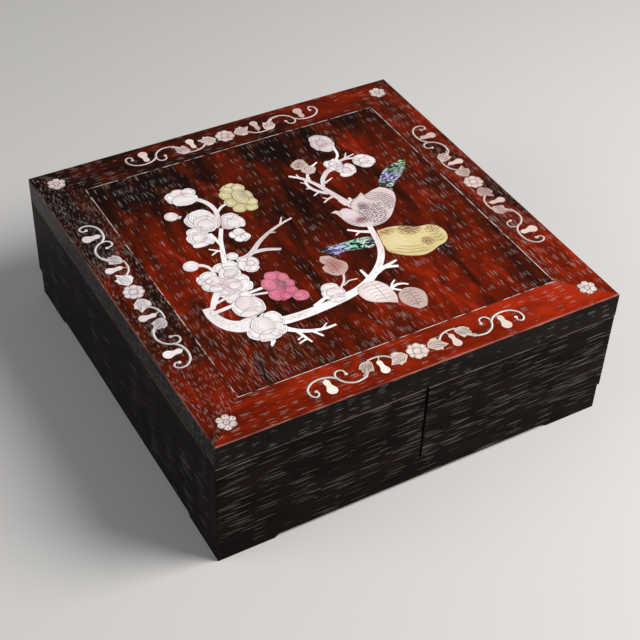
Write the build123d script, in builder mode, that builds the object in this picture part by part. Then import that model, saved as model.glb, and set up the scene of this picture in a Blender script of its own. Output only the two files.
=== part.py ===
from build123d import *
import os
from math import cos, hypot, pi, radians, sin, sqrt

os.makedirs("parts", exist_ok=True)

# A low square case for a mahjong set, in millimetres. A mitred base carries two side walls, a back,
# a divider and a floor; two drawers slide side by side over that floor and open towards -Y; a
# mitred frame with a flush panel closes the top, and shell inlay is let into it.
# The origin is the centre of the footprint, on the surface that the case stands on. +Z is up.

# Case
case_width = 330.0
case_depth = 330.0
base_height = 24.0
wall_height = 71.0
top_height = 21.0
wall_thickness = 12.0
divider_thickness = 10.0
arris = 0.8
seam_arris = 0.5
joint_gap = 0.05
blind_gap = 0.5
edge_band = 0.2

# Top frame and its panel
top_rail_width = 34.0
top_panel_thickness = 12.0
top_tongue_lift = 2.0
tongue_height = 5.0
tongue_length = 6.0
panel_gap = 0.6
batten_width = 28.0
batten_height = 8.0
batten_place = 66.0
batten_tenon_length = 10.0
batten_shoulder = 1.5
spline_width = 20.0
spline_thickness = 3.0
top_spline_length = 26.0
top_spline_level = 7.0

# Base frame and the floor of the drawer space
base_inset = 1.2
base_rail_width = 30.0
foot_length = 45.0
kick_height = 3.0
floor_thickness = 10.0
floor_tongue_height = 4.0
base_spline_length = 22.0
base_spline_level = 6.5

# Tongues and tenons that locate the walls
wall_tongue_width = 4.0
wall_tongue_length = 5.0
wall_tongue_inset = 12.0
back_tongue_length = 3.0
divider_tenon_length = 10.0

# Drawers
front_thickness = 12.0
front_gap = 0.3
middle_gap = 1.6
seam_gap = 0.5
run_gap = 0.3
drawer_side_gap = 0.5
drawer_top_gap = 1.7
drawer_back_gap = 3.0
drawer_side_thickness = 8.0
drawer_back_thickness = 8.0
drawer_bottom_thickness = 4.0
drawer_bottom_lift = 5.0
groove_depth = 4.0
slip_length = 6.0
slip_root = 4.8
slip_tip = 7.0
tail_count = 3
tail_end_share = 0.66
tail_slope = 0.22

# Shell inlay
inlay_thickness = 1.0
inlay_proud = 0.15
kerf = 0.25
point_limit = 4.0
petal_notch = 0.2
petal_facets = 3
bud_facets = 10
neck_angles = (200, 245, 295, 340)
bulb_angles = (-42, 0, 45, 90, 135, 180, 222)
scroll_stem = 1.9
scroll_flower_length = 15.5
scroll_flower_width = 14.0
scroll_flower_petals = 7
corner_flower_size = 14.5
corner_flower_petals = 6
corner_flower_turn = 15

# Levels and half sizes that follow from them
half_width = case_width / 2
half_depth = case_depth / 2
wall_bottom = base_height
wall_top = base_height + wall_height
case_height = wall_top + top_height
carcass_front = -half_depth + front_thickness + front_gap
bay_back = half_depth - wall_thickness
wall_tongue_place = wall_thickness / 2
pocket_floor = case_height + inlay_proud - inlay_thickness
sides = ("front", "right", "back", "left")


def finish(piece, name):
    """Label a finished piece and write it."""
    piece.part.label = name
    export_step(piece.part, f"parts/{name}.step")


def rail_plan(side, half_x, half_y, rail_width):
    """Corners of one mitred rail of a rectangular frame, seen from above."""
    outer = [(-half_x, -half_y), (half_x, -half_y), (half_x, half_y), (-half_x, half_y)]
    inner_x, inner_y = half_x - rail_width, half_y - rail_width
    inner = [(-inner_x, -inner_y), (inner_x, -inner_y), (inner_x, inner_y), (-inner_x, inner_y)]
    start = sides.index(side)
    end = (start + 1) % len(outer)
    return [outer[start], outer[end], inner[end], inner[start]]


def outer_edges(piece, side, level):
    """The straight outer edge of a rail, at one level."""
    axis = Axis.Y if side in ("front", "back") else Axis.X
    edges = piece.edges().filter_by_position(Axis.Z, level - edge_band, level + edge_band).sort_by(axis)
    return edges[-1] if side in ("back", "right") else edges[0]


def wall_tongue_boxes(grow):
    """Plan rectangles (x, y, width, depth) of the wall tongues, which rails above and below receive."""
    across = wall_tongue_width + 2 * grow
    side_x = half_width - wall_tongue_place
    side_front = carcass_front + wall_tongue_inset
    side_back = bay_back - wall_tongue_inset
    side_run = side_back - side_front + 2 * grow
    side_middle = (side_back + side_front) / 2
    back_run = 2 * (half_width - wall_thickness - wall_tongue_inset) + 2 * grow
    return {
        "left_side": (-side_x, side_middle, across, side_run),
        "right_side": (side_x, side_middle, across, side_run),
        "back_panel": (0, half_depth - wall_tongue_place, back_run, across),
    }


def divider_tenon_boxes(grow):
    """Plan rectangles of the divider's two tenons, over the front and back rails."""
    front_y = (carcass_front - half_depth + top_rail_width) / 2
    back_y = (bay_back + half_depth - top_rail_width) / 2
    size = (wall_tongue_width + 2 * grow, divider_tenon_length + 2 * grow)
    return [(0, front_y, *size), (0, back_y, *size)]


def plan_box(box):
    """Draw one plan rectangle in the sketch that is open."""
    with Locations((box[0], box[1])):
        Rectangle(box[2], box[3])


def mitre_splines(half_x, half_y, rail_width, length, grow):
    """Draw the four loose tongues that lie across the mitres, seen from above."""
    for turn, (x, y) in zip((45, -45, 45, -45), ((1, 1), (-1, 1), (-1, -1), (1, -1))):
        middle = (x * (half_x - rail_width / 2), y * (half_y - rail_width / 2), 0)
        with Locations(Location(middle, (0, 0, turn))):
            Rectangle(length + 2 * grow, spline_width + 2 * grow)


# Inlay outlines. Each is a closed list of points in plan, worked out from a few sizes.


def scallop(x, y, length, width, turn, petals):
    """A flower seen from above: an oval whose rim is drawn in between its petals."""
    facets = petals * petal_facets
    tilt = radians(turn)
    points = []
    for facet in range(facets):
        angle = 2 * pi * facet / facets
        rim = 1 - petal_notch * (1 - sqrt(abs(sin(petals * angle / 2))))
        along = length / 2 * rim * cos(angle)
        across = width / 2 * rim * sin(angle)
        points.append((x + along * cos(tilt) - across * sin(tilt),
                       y + along * sin(tilt) + across * cos(tilt)))
    return points


def oval(x, y, length, width):
    """A smooth bud, as an oval of straight facets."""
    points = []
    for facet in range(bud_facets):
        angle = 2 * pi * facet / bud_facets
        points.append((x + length / 2 * cos(angle), y + width / 2 * sin(angle)))
    return points


def stem(path, start_width, end_width, steps=2):
    """A tapered strip along a smooth line through a few points."""
    line = Edge.make_spline([Vector(*point) for point in path]) if len(path) > 2 else None
    spans = steps * (len(path) - 1) if line else 1
    left, right = [], []
    for step in range(spans + 1):
        share = step / spans
        half = (start_width + (end_width - start_width) * share) / 2
        if line:
            place, run = line.position_at(share), line.tangent_at(share)
            x, y, run_x, run_y = place.X, place.Y, run.X, run.Y
        else:
            (x0, y0), (x1, y1) = path
            x, y = x0 + (x1 - x0) * share, y0 + (y1 - y0) * share
            reach = hypot(x1 - x0, y1 - y0)
            run_x, run_y = (x1 - x0) / reach, (y1 - y0) / reach
        left.append((x - run_y * half, y + run_x * half))
        right.append((x + run_y * half, y - run_x * half))
    return left + right[::-1]


def widened(outline, amount):
    """The outline with each of its sides moved outwards; a sharp point is cut off at the limit."""
    turns = zip(outline, outline[1:] + outline[:1])
    hand = 1 if sum(x0 * y1 - x1 * y0 for (x0, y0), (x1, y1) in turns) > 0 else -1
    points = []
    for (x0, y0), (x1, y1), (x2, y2) in zip(outline[-1:] + outline[:-1], outline, outline[1:] + outline[:1]):
        before, after = hypot(x1 - x0, y1 - y0), hypot(x2 - x1, y2 - y1)
        out_x0, out_y0 = hand * (y1 - y0) / before, -hand * (x1 - x0) / before
        out_x1, out_y1 = hand * (y2 - y1) / after, -hand * (x2 - x1) / after
        reach = amount / max(1 + out_x0 * out_x1 + out_y0 * out_y1, 1 / point_limit)
        points.append((x1 + reach * (out_x0 + out_x1), y1 + reach * (out_y0 + out_y1)))
    return points


def gourd(place, neck_place, neck, bulb_place, bulb):
    """A hanging gourd drop: a small neck lobe over a larger bulb, across the line of the border."""
    points = []
    for angle in neck_angles:
        points.append((place + neck * cos(radians(angle)), neck_place + neck * sin(radians(angle))))
    for angle in bulb_angles:
        points.append((place + bulb * cos(radians(angle)), bulb_place + bulb * sin(radians(angle))))
    return points


# One half of a border scroll: the first number runs along the rail from its middle, the second
# runs across it, outwards from the rail's centre line.
scroll_half = [
    [(8.4, -0.6), (12, -4.6), (16, -6.2), (20, -4), (19.4, 0), (22.6, 4), (17.5, 6.3), (13, 4.6), (10, 2.2)],
    stem([(20.2, -3.4), (24, -6.6), (29.5, -8.1), (35.4, -8.2)], scroll_stem, scroll_stem, steps=1),
    gourd(29.5, -1.4, 2.1, 5.2, 3.4),
    [(35, -8.6), (41.5, -8.8), (45, -5.2), (44.4, 2.2), (40.5, 2.4), (37.2, 3.2), (35.2, -1)],
    stem([(40.5, 2.6), (46, 5.2), (53, 6.8), (60, 4), (63.6, -3), (60, -8.2), (56, -6.4), (55.2, -2.6)],
         scroll_stem, scroll_stem, steps=1),
    stem([(63.6, -2.6), (68, -5.4), (75, -6.8), (82, -5.4), (86.8, -1), (86.8, 4.6), (83, 7), (81.2, 3.6)],
         scroll_stem, scroll_stem, steps=1),
    gourd(71.4, -0.6, 2.6, 5.9, 4.1),
]
side_axes = {
    "front": ((1, 0), (0, -1)),
    "back": ((1, 0), (0, 1)),
    "left": ((0, 1), (-1, 0)),
    "right": ((0, 1), (1, 0)),
}


def scroll_outlines(side):
    """All outlines of the scroll on one rail: a flower, then each piece on both sides of it."""
    (along_x, along_y), (out_x, out_y) = side_axes[side]
    reach = (half_depth if side in ("front", "back") else half_width) - top_rail_width / 2
    groups = [scallop(0, 0, scroll_flower_length, scroll_flower_width, 0, scroll_flower_petals)]
    for mirrored in (1, -1):
        groups += [[(along * mirrored, out) for along, out in outline] for outline in scroll_half]
    placed = []
    for outline in groups:
        placed.append([
            (along * along_x + (reach + out) * out_x, along * along_y + (reach + out) * out_y)
            for along, out in outline
        ])
    return placed


corner_x = half_width - top_rail_width / 2
corner_y = half_depth - top_rail_width / 2
corner_outlines = [
    scallop(x, y, corner_flower_size, corner_flower_size, corner_flower_turn, corner_flower_petals)
    for x, y in ((corner_x, corner_y), (-corner_x, corner_y), (-corner_x, -corner_y), (corner_x, -corner_y))
]

# The picture: two birds on a blossoming branch, round the middle of the panel. Upper layers come
# first, and each piece is cut back round the pieces before it.
picture = {
    "picture_upper_bird": [
        [(25.6, 16.6), (30.2, 17.6), (32.6, 15.4), (36.2, 17.3), (39.8, 15.8), (42.6, 12.2), (44, 18.6),
         (48, 23), (53.5, 25), (60, 29), (60.6, 24.6), (69.5, 27.6), (77, 28.6), (81.2, 24.4), (83.6, 18.6),
         (80.4, 9.6), (73.4, 0.4), (64.4, -8.4), (54.4, -12.8), (44.4, -12.2), (36, -8), (30.9, -0.6),
         (29.4, 9.6), (28.4, 14)],
    ],
    "picture_lower_bird": [
        [(45.4, -19.2), (55, -19.2), (65.6, -22.2), (75.6, -28.6), (84.4, -30.2), (90, -34.2), (92.2, -42),
         (90, -50), (85, -54.4), (78, -56.2), (70, -59.2), (61.6, -60), (52, -56), (43.6, -49.4), (40, -43),
         (41.6, -34), (43.4, -27)],
    ],
    "picture_bird_tails": [
        [(78.2, 28.8), (79.4, 34), (84, 39.6), (90.6, 45.4), (97.4, 49.4), (104, 51), (111.6, 53),
         (114.4, 50.2), (112, 45.4), (107, 40.2), (101.4, 34.6), (93.4, 30.2), (87.6, 24.8), (84.6, 20.8)],
        [(-5.4, -19.6), (3, -18.6), (13, -19.2), (22, -20.2), (31, -20.6), (38.6, -23), (36, -33),
         (32, -34.6), (22, -32), (12, -29.4), (3, -29.8), (-3, -24.6)],
    ],
    "picture_bird_feet": [
        stem([(76.6, -56.4), (75.4, -61), (75.6, -65.6)], 2.6, 1.6, steps=1),
        stem([(80, -56), (79.4, -62.6)], 2.4, 1.6),
        stem([(83, -55), (85.2, -61.8)], 2.4, 1.6),
        stem([(85.4, -53.6), (88, -57.6)], 2.2, 1.4),
    ],
    "picture_yellow_flower": [scallop(-29.8, 66.6, 39, 24, 100, 9)],
    "picture_pink_flower": [
        scallop(-52.4, -41.2, 35, 22, 80, 7),
        scallop(-42.8, -58.4, 13.6, 12.4, 0, 4),
    ],
    "picture_leaves": [
        [(-8.6, -26.4), (-2.4, -28.6), (0.8, -34.4), (5.2, -41), (3.4, -47.4), (-2.8, -52.4), (-9.8, -50.6),
         (-13.8, -43.4), (-13.6, -38.2), (-9.8, -36.8), (-11.6, -31.4)],
        [(-5, -75.2), (-1.4, -70), (5.2, -67.8), (13.4, -69.4), (18.2, -76.2), (19.2, -84.4), (18.8, -91),
         (15.6, -98.2), (9.6, -94.2), (3, -91.2), (-3.4, -85.4)],
        [(29, -86.4), (35.4, -89.6), (38.9, -96.4), (36.6, -104.4), (32.4, -110.4), (26, -110.8),
         (20.8, -104.8), (18.4, -98), (20.6, -90.4), (24.4, -87.6)],
        [(28.2, 79.6), (30.4, 88), (35.8, 91.2), (40.8, 88.2), (41.4, 81), (35.6, 77.6)],
        scallop(38.4, 74.4, 12, 11, 30, 4),
    ],
    "picture_blossoms": [
        scallop(-68.4, 87.4, 26, 20.5, -14, 6),
        oval(-86.2, 68.4, 11.4, 11.2),
        scallop(-67.4, 55.6, 25, 23.5, 20, 5),
        scallop(-78.4, 36.4, 24.5, 18, 70, 4),
        scallop(-48.4, 42.6, 21, 20.5, 0, 4),
        scallop(-49.8, 24.4, 18.5, 13.5, 110, 3),
        oval(-66.6, 3.8, 9, 9),
        oval(-99, 7.2, 12.4, 12),
        scallop(-60, -9.2, 19, 16.5, 100, 5),
        scallop(-75.8, -10.2, 24.5, 17.5, 80, 4),
        scallop(-93.8, -15.4, 24.5, 18.5, 110, 5),
        scallop(-81.6, -29.6, 29.5, 21, 0, 6),
        scallop(-82.6, -51.4, 30.5, 22.5, 78, 5),
        scallop(-81.6, -77.4, 32, 27.5, 35, 6),
        scallop(-20.2, -65.8, 22, 16.5, 95, 4),
        scallop(66.2, 102.2, 26.5, 19.5, 95, 5),
        scallop(60, 71.2, 16.4, 14.4, 40, 4),
        scallop(65.6, 60.6, 17, 15.6, 100, 4),
        scallop(84.8, 65.8, 17.8, 16.6, 150, 5),
    ],
    "picture_branch": [
        stem([(-109.4, -40.6), (-108.6, -54), (-104.6, -62.6), (-92, -70)], 7, 13),
        stem([(-106, -43), (-100, -34.4), (-92, -26)], 4, 6, steps=1),
        stem([(-108, -47.6), (-90, -46)], 3.4, 3),
        stem([(-104, -39.4), (-90, -36.2)], 2, 2.4),
        stem([(-84.6, -88), (-84, -94), (-87, -96.6)], 5, 2, steps=1),
        stem([(-72, -76.4), (-54, -78), (-28, -76.8), (-6, -73.4), (12, -65.6), (27, -53.6), (36.4, -40),
              (40.6, -26), (44, -10)], 8.6, 4.2),
        stem([(-40, -74), (-24, -67.4)], 3.4, 2.6),
        stem([(-76, -39), (-60, -38.4)], 2.4, 2.6),
        stem([(-76, -41.6), (-60, -45.6)], 2, 2.4),
        stem([(-72, -82), (-63.6, -91), (-51, -96.8), (-36, -97.8)], 5, 1.8),
        stem([(-47.4, -97.4), (-41.2, -93.4)], 1.5, 1),
        stem([(-64.4, -90), (-62.4, -98), (-60, -106)], 3.2, 1.5, steps=1),
        stem([(-62, -101.4), (-68.8, -103.4)], 1.8, 1.1),
        stem([(-62.6, -97.8), (-68, -99.6)], 1.6, 1),
        stem([(-54.4, -96), (-50, -104.2)], 2.6, 1.5),
        stem([(-2.2, -50), (-8, -60.4), (-14, -66)], 1.5, 1.9, steps=1),
        stem([(-9.6, -63.4), (-3, -60.4), (3.4, -61.4)], 1.3, 1, steps=1),
        stem([(11, -65), (10.2, -53.6)], 3.4, 1.6),
        stem([(17, -62.4), (29, -58.6), (40.2, -56)], 5.2, 1.8, steps=1),
        stem([(27.6, -59), (38, -62.6)], 3.4, 2.6),
        stem([(17.6, -83.6), (27, -80.4), (33.2, -84)], 3, 1.5),
        stem([(20.4, -81), (23.4, -77.4), (27, -75)], 2, 1, steps=1),
        stem([(20.4, -83.4), (26.6, -89)], 2, 2),
        stem([(26, -7.6), (33, -13.4), (42.4, -18.6)], 1.9, 3.6, steps=1),
        stem([(33.6, -13.6), (28.4, -16.6)], 1.8, 1),
        stem([(45.6, 15), (41.6, 29), (37.4, 44), (32, 59.4), (19.6, 74)], 6.2, 2.2),
        stem([(47.4, 19), (48, 27.4)], 4, 2.4),
        stem([(41.4, 20), (39, 28)], 3, 1.8),
        stem([(36.6, 40), (30.6, 46), (27.2, 54), (28.8, 63)], 3.6, 2.2),
        stem([(31, 45), (24.8, 41.8)], 1.9, 1.1),
        stem([(27.8, 52), (23.8, 52.8)], 1.8, 1.1),
        stem([(28.4, 57.6), (23.8, 62.4)], 1.7, 1),
        stem([(31.6, 60), (33.8, 65.6)], 2, 1),
        stem([(30.2, 62.4), (36, 72)], 2, 2.6),
        stem([(26, 66.6), (26.2, 73.6)], 1.7, 1),
        stem([(42, 77), (49.6, 81)], 2.2, 1.2),
        stem([(39.4, 34.8), (33, 33.4), (27.6, 30.6)], 2.6, 1.3, steps=1),
        stem([(32.8, 33), (29.6, 36.8)], 1.5, 0.9),
        stem([(37, 49), (43, 59.4), (51, 66), (60, 68.4)], 3, 5, steps=1),
        stem([(41, 53), (49.6, 56.4)], 2, 1.1),
        stem([(63, 74), (70, 83), (72, 94)], 2, 2.4, steps=1),
        stem([(64, 74), (73, 74.4), (82, 71.4)], 2.6, 2.4, steps=1),
        stem([(70.4, 75), (82.2, 77.4)], 2, 1.2),
        stem([(73, 76), (77, 81.6)], 1.6, 1),
        stem([(-75.6, -2), (-70.4, 12), (-66, 24), (-58.6, 38)], 4.2, 3.2, steps=1),
        stem([(-67.6, 20), (-69.4, 36)], 3, 3),
        stem([(-70.6, 12.6), (-78.4, 19.4)], 2.2, 1.1),
        stem([(-73.4, 14.6), (-79.4, 11.8)], 1.6, 1),
        stem([(-56.6, 48), (-52.4, 62), (-54.6, 73), (-62, 82)], 3.6, 4.2),
        stem([(-53.6, 56.4), (-47.4, 61.6), (-36, 65.4)], 2.8, 1.8, steps=1),
        stem([(-80, 64), (-84, 68)], 3.4, 3.4),
        stem([(-66, -1.6), (-52, 1), (-42.6, 8.6), (-30, 16.4), (-18, 21.4), (-4.6, 25)], 5, 1.5),
        stem([(-52, 1.4), (-39.6, -0.6), (-30, -5)], 4.2, 2.6, steps=1),
        stem([(-16.6, 21.6), (-11, 29.6)], 2, 1),
        stem([(-28, 16.4), (-24, 15)], 1.6, 1.1),
        stem([(-94.6, 6.4), (-89.2, 2.6), (-87.4, -8)], 3.4, 2.2),
    ],
}
picture_outlines = [outline for outlines in picture.values() for outline in outlines]


def shapes(outlines):
    """Flat shapes of some outlines."""
    return [Polygon(*outline) for outline in outlines]


def inlay_piece(name, outlines, above):
    """Cut one node of shell inlay: its outlines, less a saw cut round each piece that lies above it."""
    cuts = shapes(outlines)
    with BuildPart() as piece:
        with BuildSketch(Plane.XY.offset(pocket_floor)):
            add(cuts)
            if above:
                add(above, mode=Mode.SUBTRACT)
        extrude(amount=inlay_thickness)
    finish(piece, name)


# Top frame: four mitred rails, grooved inside for the panel's tongue and underneath for the walls,
# morticed for the battens and slotted for the mitre splines, with pockets for the border inlay.
panel_half_x = half_width - top_rail_width
panel_half_y = half_depth - top_rail_width
panel_bottom = case_height - top_panel_thickness
tongue_bottom = panel_bottom + top_tongue_lift
for side in sides:
    pockets = shapes(scroll_outlines(side) + corner_outlines)
    with BuildPart() as top_rail:
        with BuildSketch(Plane.XY.offset(wall_top)):
            Polygon(*rail_plan(side, half_width, half_depth, top_rail_width))
        extrude(amount=top_height)
        chamfer(outer_edges(top_rail, side, case_height), arris)
        chamfer(outer_edges(top_rail, side, wall_top), seam_arris)
        with BuildSketch(Plane.XY.offset(tongue_bottom)):
            Rectangle(2 * (panel_half_x + tongue_length + blind_gap),
                      2 * (panel_half_y + tongue_length + blind_gap))
        extrude(amount=tongue_height + joint_gap, mode=Mode.SUBTRACT)
        with BuildSketch(Plane.XY.offset(wall_top)):
            for box in wall_tongue_boxes(joint_gap).values():
                plan_box(box)
            for box in divider_tenon_boxes(joint_gap):
                plan_box(box)
        extrude(amount=wall_tongue_length + blind_gap, mode=Mode.SUBTRACT)
        with BuildSketch(Plane.XY.offset(wall_top + top_spline_level)):
            mitre_splines(half_width, half_depth, top_rail_width, top_spline_length, joint_gap)
        extrude(amount=spline_thickness + joint_gap, mode=Mode.SUBTRACT)
        if side in ("left", "right"):
            with BuildSketch(Plane.XY.offset(panel_bottom - batten_height + batten_shoulder)):
                for place in (-batten_place, batten_place):
                    plan_box((0, place, 2 * (panel_half_x + batten_tenon_length + blind_gap),
                              batten_width - 2 * batten_shoulder + 2 * joint_gap))
            extrude(amount=batten_height - 2 * batten_shoulder + joint_gap, mode=Mode.SUBTRACT)
        with BuildSketch(Plane.XY.offset(pocket_floor)):
            add(pockets)
        extrude(amount=inlay_thickness, mode=Mode.SUBTRACT)
    finish(top_rail, f"top_{side}_rail")

with BuildPart() as top_splines:
    with BuildSketch(Plane.XY.offset(wall_top + top_spline_level)):
        mitre_splines(half_width, half_depth, top_rail_width, top_spline_length, -joint_gap)
    extrude(amount=spline_thickness)
finish(top_splines, "top_splines")

# Top panel: flush with the frame, held by a tongue all round, pocketed for the picture.
pockets = shapes(picture_outlines)
with BuildPart() as top_panel:
    with BuildSketch(Plane.XY.offset(panel_bottom)):
        Rectangle(2 * (panel_half_x - panel_gap), 2 * (panel_half_y - panel_gap))
    extrude(amount=top_panel_thickness)
    with BuildSketch(Plane.XY.offset(tongue_bottom)):
        Rectangle(2 * (panel_half_x + tongue_length), 2 * (panel_half_y + tongue_length))
    extrude(amount=tongue_height)
    with BuildSketch(Plane.XY.offset(pocket_floor)):
        add(pockets)
    extrude(amount=inlay_thickness, mode=Mode.SUBTRACT)
finish(top_panel, "top_panel")

# Battens: two bars across the underside of the panel, tenoned into the left and right rails.
for name, place in (("front_batten", -batten_place), ("back_batten", batten_place)):
    with BuildPart() as batten:
        with BuildSketch(Plane.XY.offset(panel_bottom - batten_height)):
            plan_box((0, place, 2 * panel_half_x, batten_width))
        extrude(amount=batten_height)
        with BuildSketch(Plane.XY.offset(panel_bottom - batten_height + batten_shoulder)):
            plan_box((0, place, 2 * (panel_half_x + batten_tenon_length), batten_width - 2 * batten_shoulder))
        extrude(amount=batten_height - 2 * batten_shoulder)
    finish(batten, name)

# Base frame: four mitred rails set in a little from the walls. The underside is cut away between
# the feet, and the inner edge is grooved for the floor.
base_half_x = half_width - base_inset
base_half_y = half_depth - base_inset
floor_bottom = base_height - floor_thickness
floor_half_x = base_half_x - base_rail_width
floor_half_y = base_half_y - base_rail_width
for side in sides:
    along_y = side in ("left", "right")
    kick_half = (base_half_y if along_y else base_half_x) - foot_length
    with BuildPart() as base_rail:
        with BuildSketch(Plane.XY):
            Polygon(*rail_plan(side, base_half_x, base_half_y, base_rail_width))
        extrude(amount=base_height)
        with BuildSketch(Plane.YZ if along_y else Plane.XZ):
            Polygon((-kick_half, 0), (kick_half, 0), (kick_half - kick_height, kick_height),
                    (-kick_half + kick_height, kick_height))
        extrude(amount=case_width + case_depth, both=True, mode=Mode.SUBTRACT)
        with BuildSketch(Plane.XY.offset(floor_bottom)):
            Rectangle(2 * (floor_half_x + tongue_length + blind_gap),
                      2 * (floor_half_y + tongue_length + blind_gap))
        extrude(amount=floor_tongue_height + joint_gap, mode=Mode.SUBTRACT)
        with BuildSketch(Plane.XY.offset(wall_bottom)):
            for box in wall_tongue_boxes(joint_gap).values():
                plan_box(box)
            for box in divider_tenon_boxes(joint_gap):
                plan_box(box)
        extrude(amount=-wall_tongue_length - blind_gap, mode=Mode.SUBTRACT)
        with BuildSketch(Plane.XY.offset(base_spline_level)):
            mitre_splines(base_half_x, base_half_y, base_rail_width, base_spline_length, joint_gap)
        extrude(amount=spline_thickness + joint_gap, mode=Mode.SUBTRACT)
    finish(base_rail, f"base_{side}_rail")

with BuildPart() as base_splines:
    with BuildSketch(Plane.XY.offset(base_spline_level)):
        mitre_splines(base_half_x, base_half_y, base_rail_width, base_spline_length, -joint_gap)
    extrude(amount=spline_thickness)
finish(base_splines, "base_splines")

# Floor of the drawer space: flush with the base rails, with a tongue along its lower edge.
with BuildPart() as floor_board:
    with BuildSketch(Plane.XY.offset(floor_bottom)):
        Rectangle(2 * (floor_half_x - panel_gap), 2 * (floor_half_y - panel_gap))
    extrude(amount=floor_thickness)
    with BuildSketch(Plane.XY.offset(floor_bottom)):
        Rectangle(2 * (floor_half_x + tongue_length), 2 * (floor_half_y + tongue_length))
    extrude(amount=floor_tongue_height)
finish(floor_board, "floor_board")

# Side walls: full depth behind the drawer fronts, grooved upright for the ends of the back. Tongues
# along their top and bottom edges stand in the rails above and below.
tongue_foot = wall_bottom - wall_tongue_length
tongue_span = wall_height + 2 * wall_tongue_length
for side, hand in (("left", -1), ("right", 1)):
    with BuildPart() as side_wall:
        with BuildSketch(Plane.XY.offset(wall_bottom)):
            plan_box((hand * (half_width - wall_thickness / 2), (carcass_front + half_depth) / 2,
                      wall_thickness, half_depth - carcass_front))
        extrude(amount=wall_height)
        chamfer(outer_edges(side_wall, side, wall_top), seam_arris)
        chamfer(outer_edges(side_wall, side, wall_bottom), seam_arris)
        with BuildSketch(Plane.XY.offset(tongue_foot)):
            plan_box(wall_tongue_boxes(0)[f"{side}_side"])
        extrude(amount=tongue_span)
        with BuildSketch(Plane.XY.offset(wall_bottom)):
            plan_box((0, half_depth - wall_tongue_place,
                      2 * (half_width - wall_thickness + back_tongue_length + blind_gap),
                      wall_tongue_width + 2 * joint_gap))
        extrude(amount=wall_height, mode=Mode.SUBTRACT)
    finish(side_wall, f"{side}_side")

# Back: let in between the side walls, and grooved for the divider.
with BuildPart() as back_panel:
    with BuildSketch(Plane.XY.offset(wall_bottom)):
        plan_box((0, half_depth - wall_thickness / 2, 2 * (half_width - wall_thickness), wall_thickness))
    extrude(amount=wall_height)
    chamfer(outer_edges(back_panel, "back", wall_top), seam_arris)
    chamfer(outer_edges(back_panel, "back", wall_bottom), seam_arris)
    with BuildSketch(Plane.XY.offset(wall_bottom)):
        plan_box((0, half_depth - wall_tongue_place, 2 * (half_width - wall_thickness + back_tongue_length),
                  wall_tongue_width))
    extrude(amount=wall_height)
    with BuildSketch(Plane.XY.offset(tongue_foot)):
        plan_box(wall_tongue_boxes(0)["back_panel"])
    extrude(amount=tongue_span)
    with BuildSketch(Plane.XY.offset(wall_bottom)):
        plan_box((0, bay_back, wall_tongue_width + 2 * joint_gap, 2 * (back_tongue_length + blind_gap)))
    extrude(amount=wall_height, mode=Mode.SUBTRACT)
finish(back_panel, "back_panel")

# Divider between the drawers, tenoned into the rails above and below.
with BuildPart() as centre_divider:
    with BuildSketch(Plane.XY.offset(wall_bottom)):
        plan_box((0, (carcass_front + bay_back) / 2, divider_thickness, bay_back - carcass_front))
        plan_box((0, bay_back, wall_tongue_width, 2 * back_tongue_length))
    extrude(amount=wall_height)
    with BuildSketch(Plane.XY.offset(tongue_foot)):
        for box in divider_tenon_boxes(0):
            plan_box(box)
    extrude(amount=tongue_span)
finish(centre_divider, "centre_divider")

# Drawer levels and places that both drawers share.
box_bottom = wall_bottom + run_gap
box_top = wall_top - drawer_top_gap
front_back_face = -half_depth + front_thickness
box_back = bay_back - drawer_back_gap
bottom_level = box_bottom + drawer_bottom_lift
back_level = bottom_level + drawer_bottom_thickness
tail_base = box_back - drawer_back_thickness
tail_pitch = (box_top - back_level) / tail_count
tail_end = tail_pitch * tail_end_share
tail_root = tail_end - 2 * tail_slope * drawer_back_thickness
bottom_front = front_back_face - groove_depth
groove_front = bottom_front - blind_gap


def slip_outline(middle, grow):
    """Plan of the dovetailed tongue on a drawer side, which slides up into the drawer front."""
    root = slip_root / 2 + grow
    tip = slip_tip / 2 + grow
    far = front_back_face - slip_length - grow
    return [(middle - root, front_back_face), (middle - tip, far),
            (middle + tip, far), (middle + root, front_back_face)]


def draw_tails(grow, mode):
    """Draw or cut the tails of one back corner on a plane across the case, seen from the side."""
    for index in range(tail_count):
        middle = back_level + tail_pitch * (index + 0.5)
        root = tail_root / 2 + grow
        end = tail_end / 2 + grow
        Polygon((tail_base, middle - root), (box_back, middle - end),
                (box_back, middle + end), (tail_base, middle + root), mode=mode)


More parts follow.
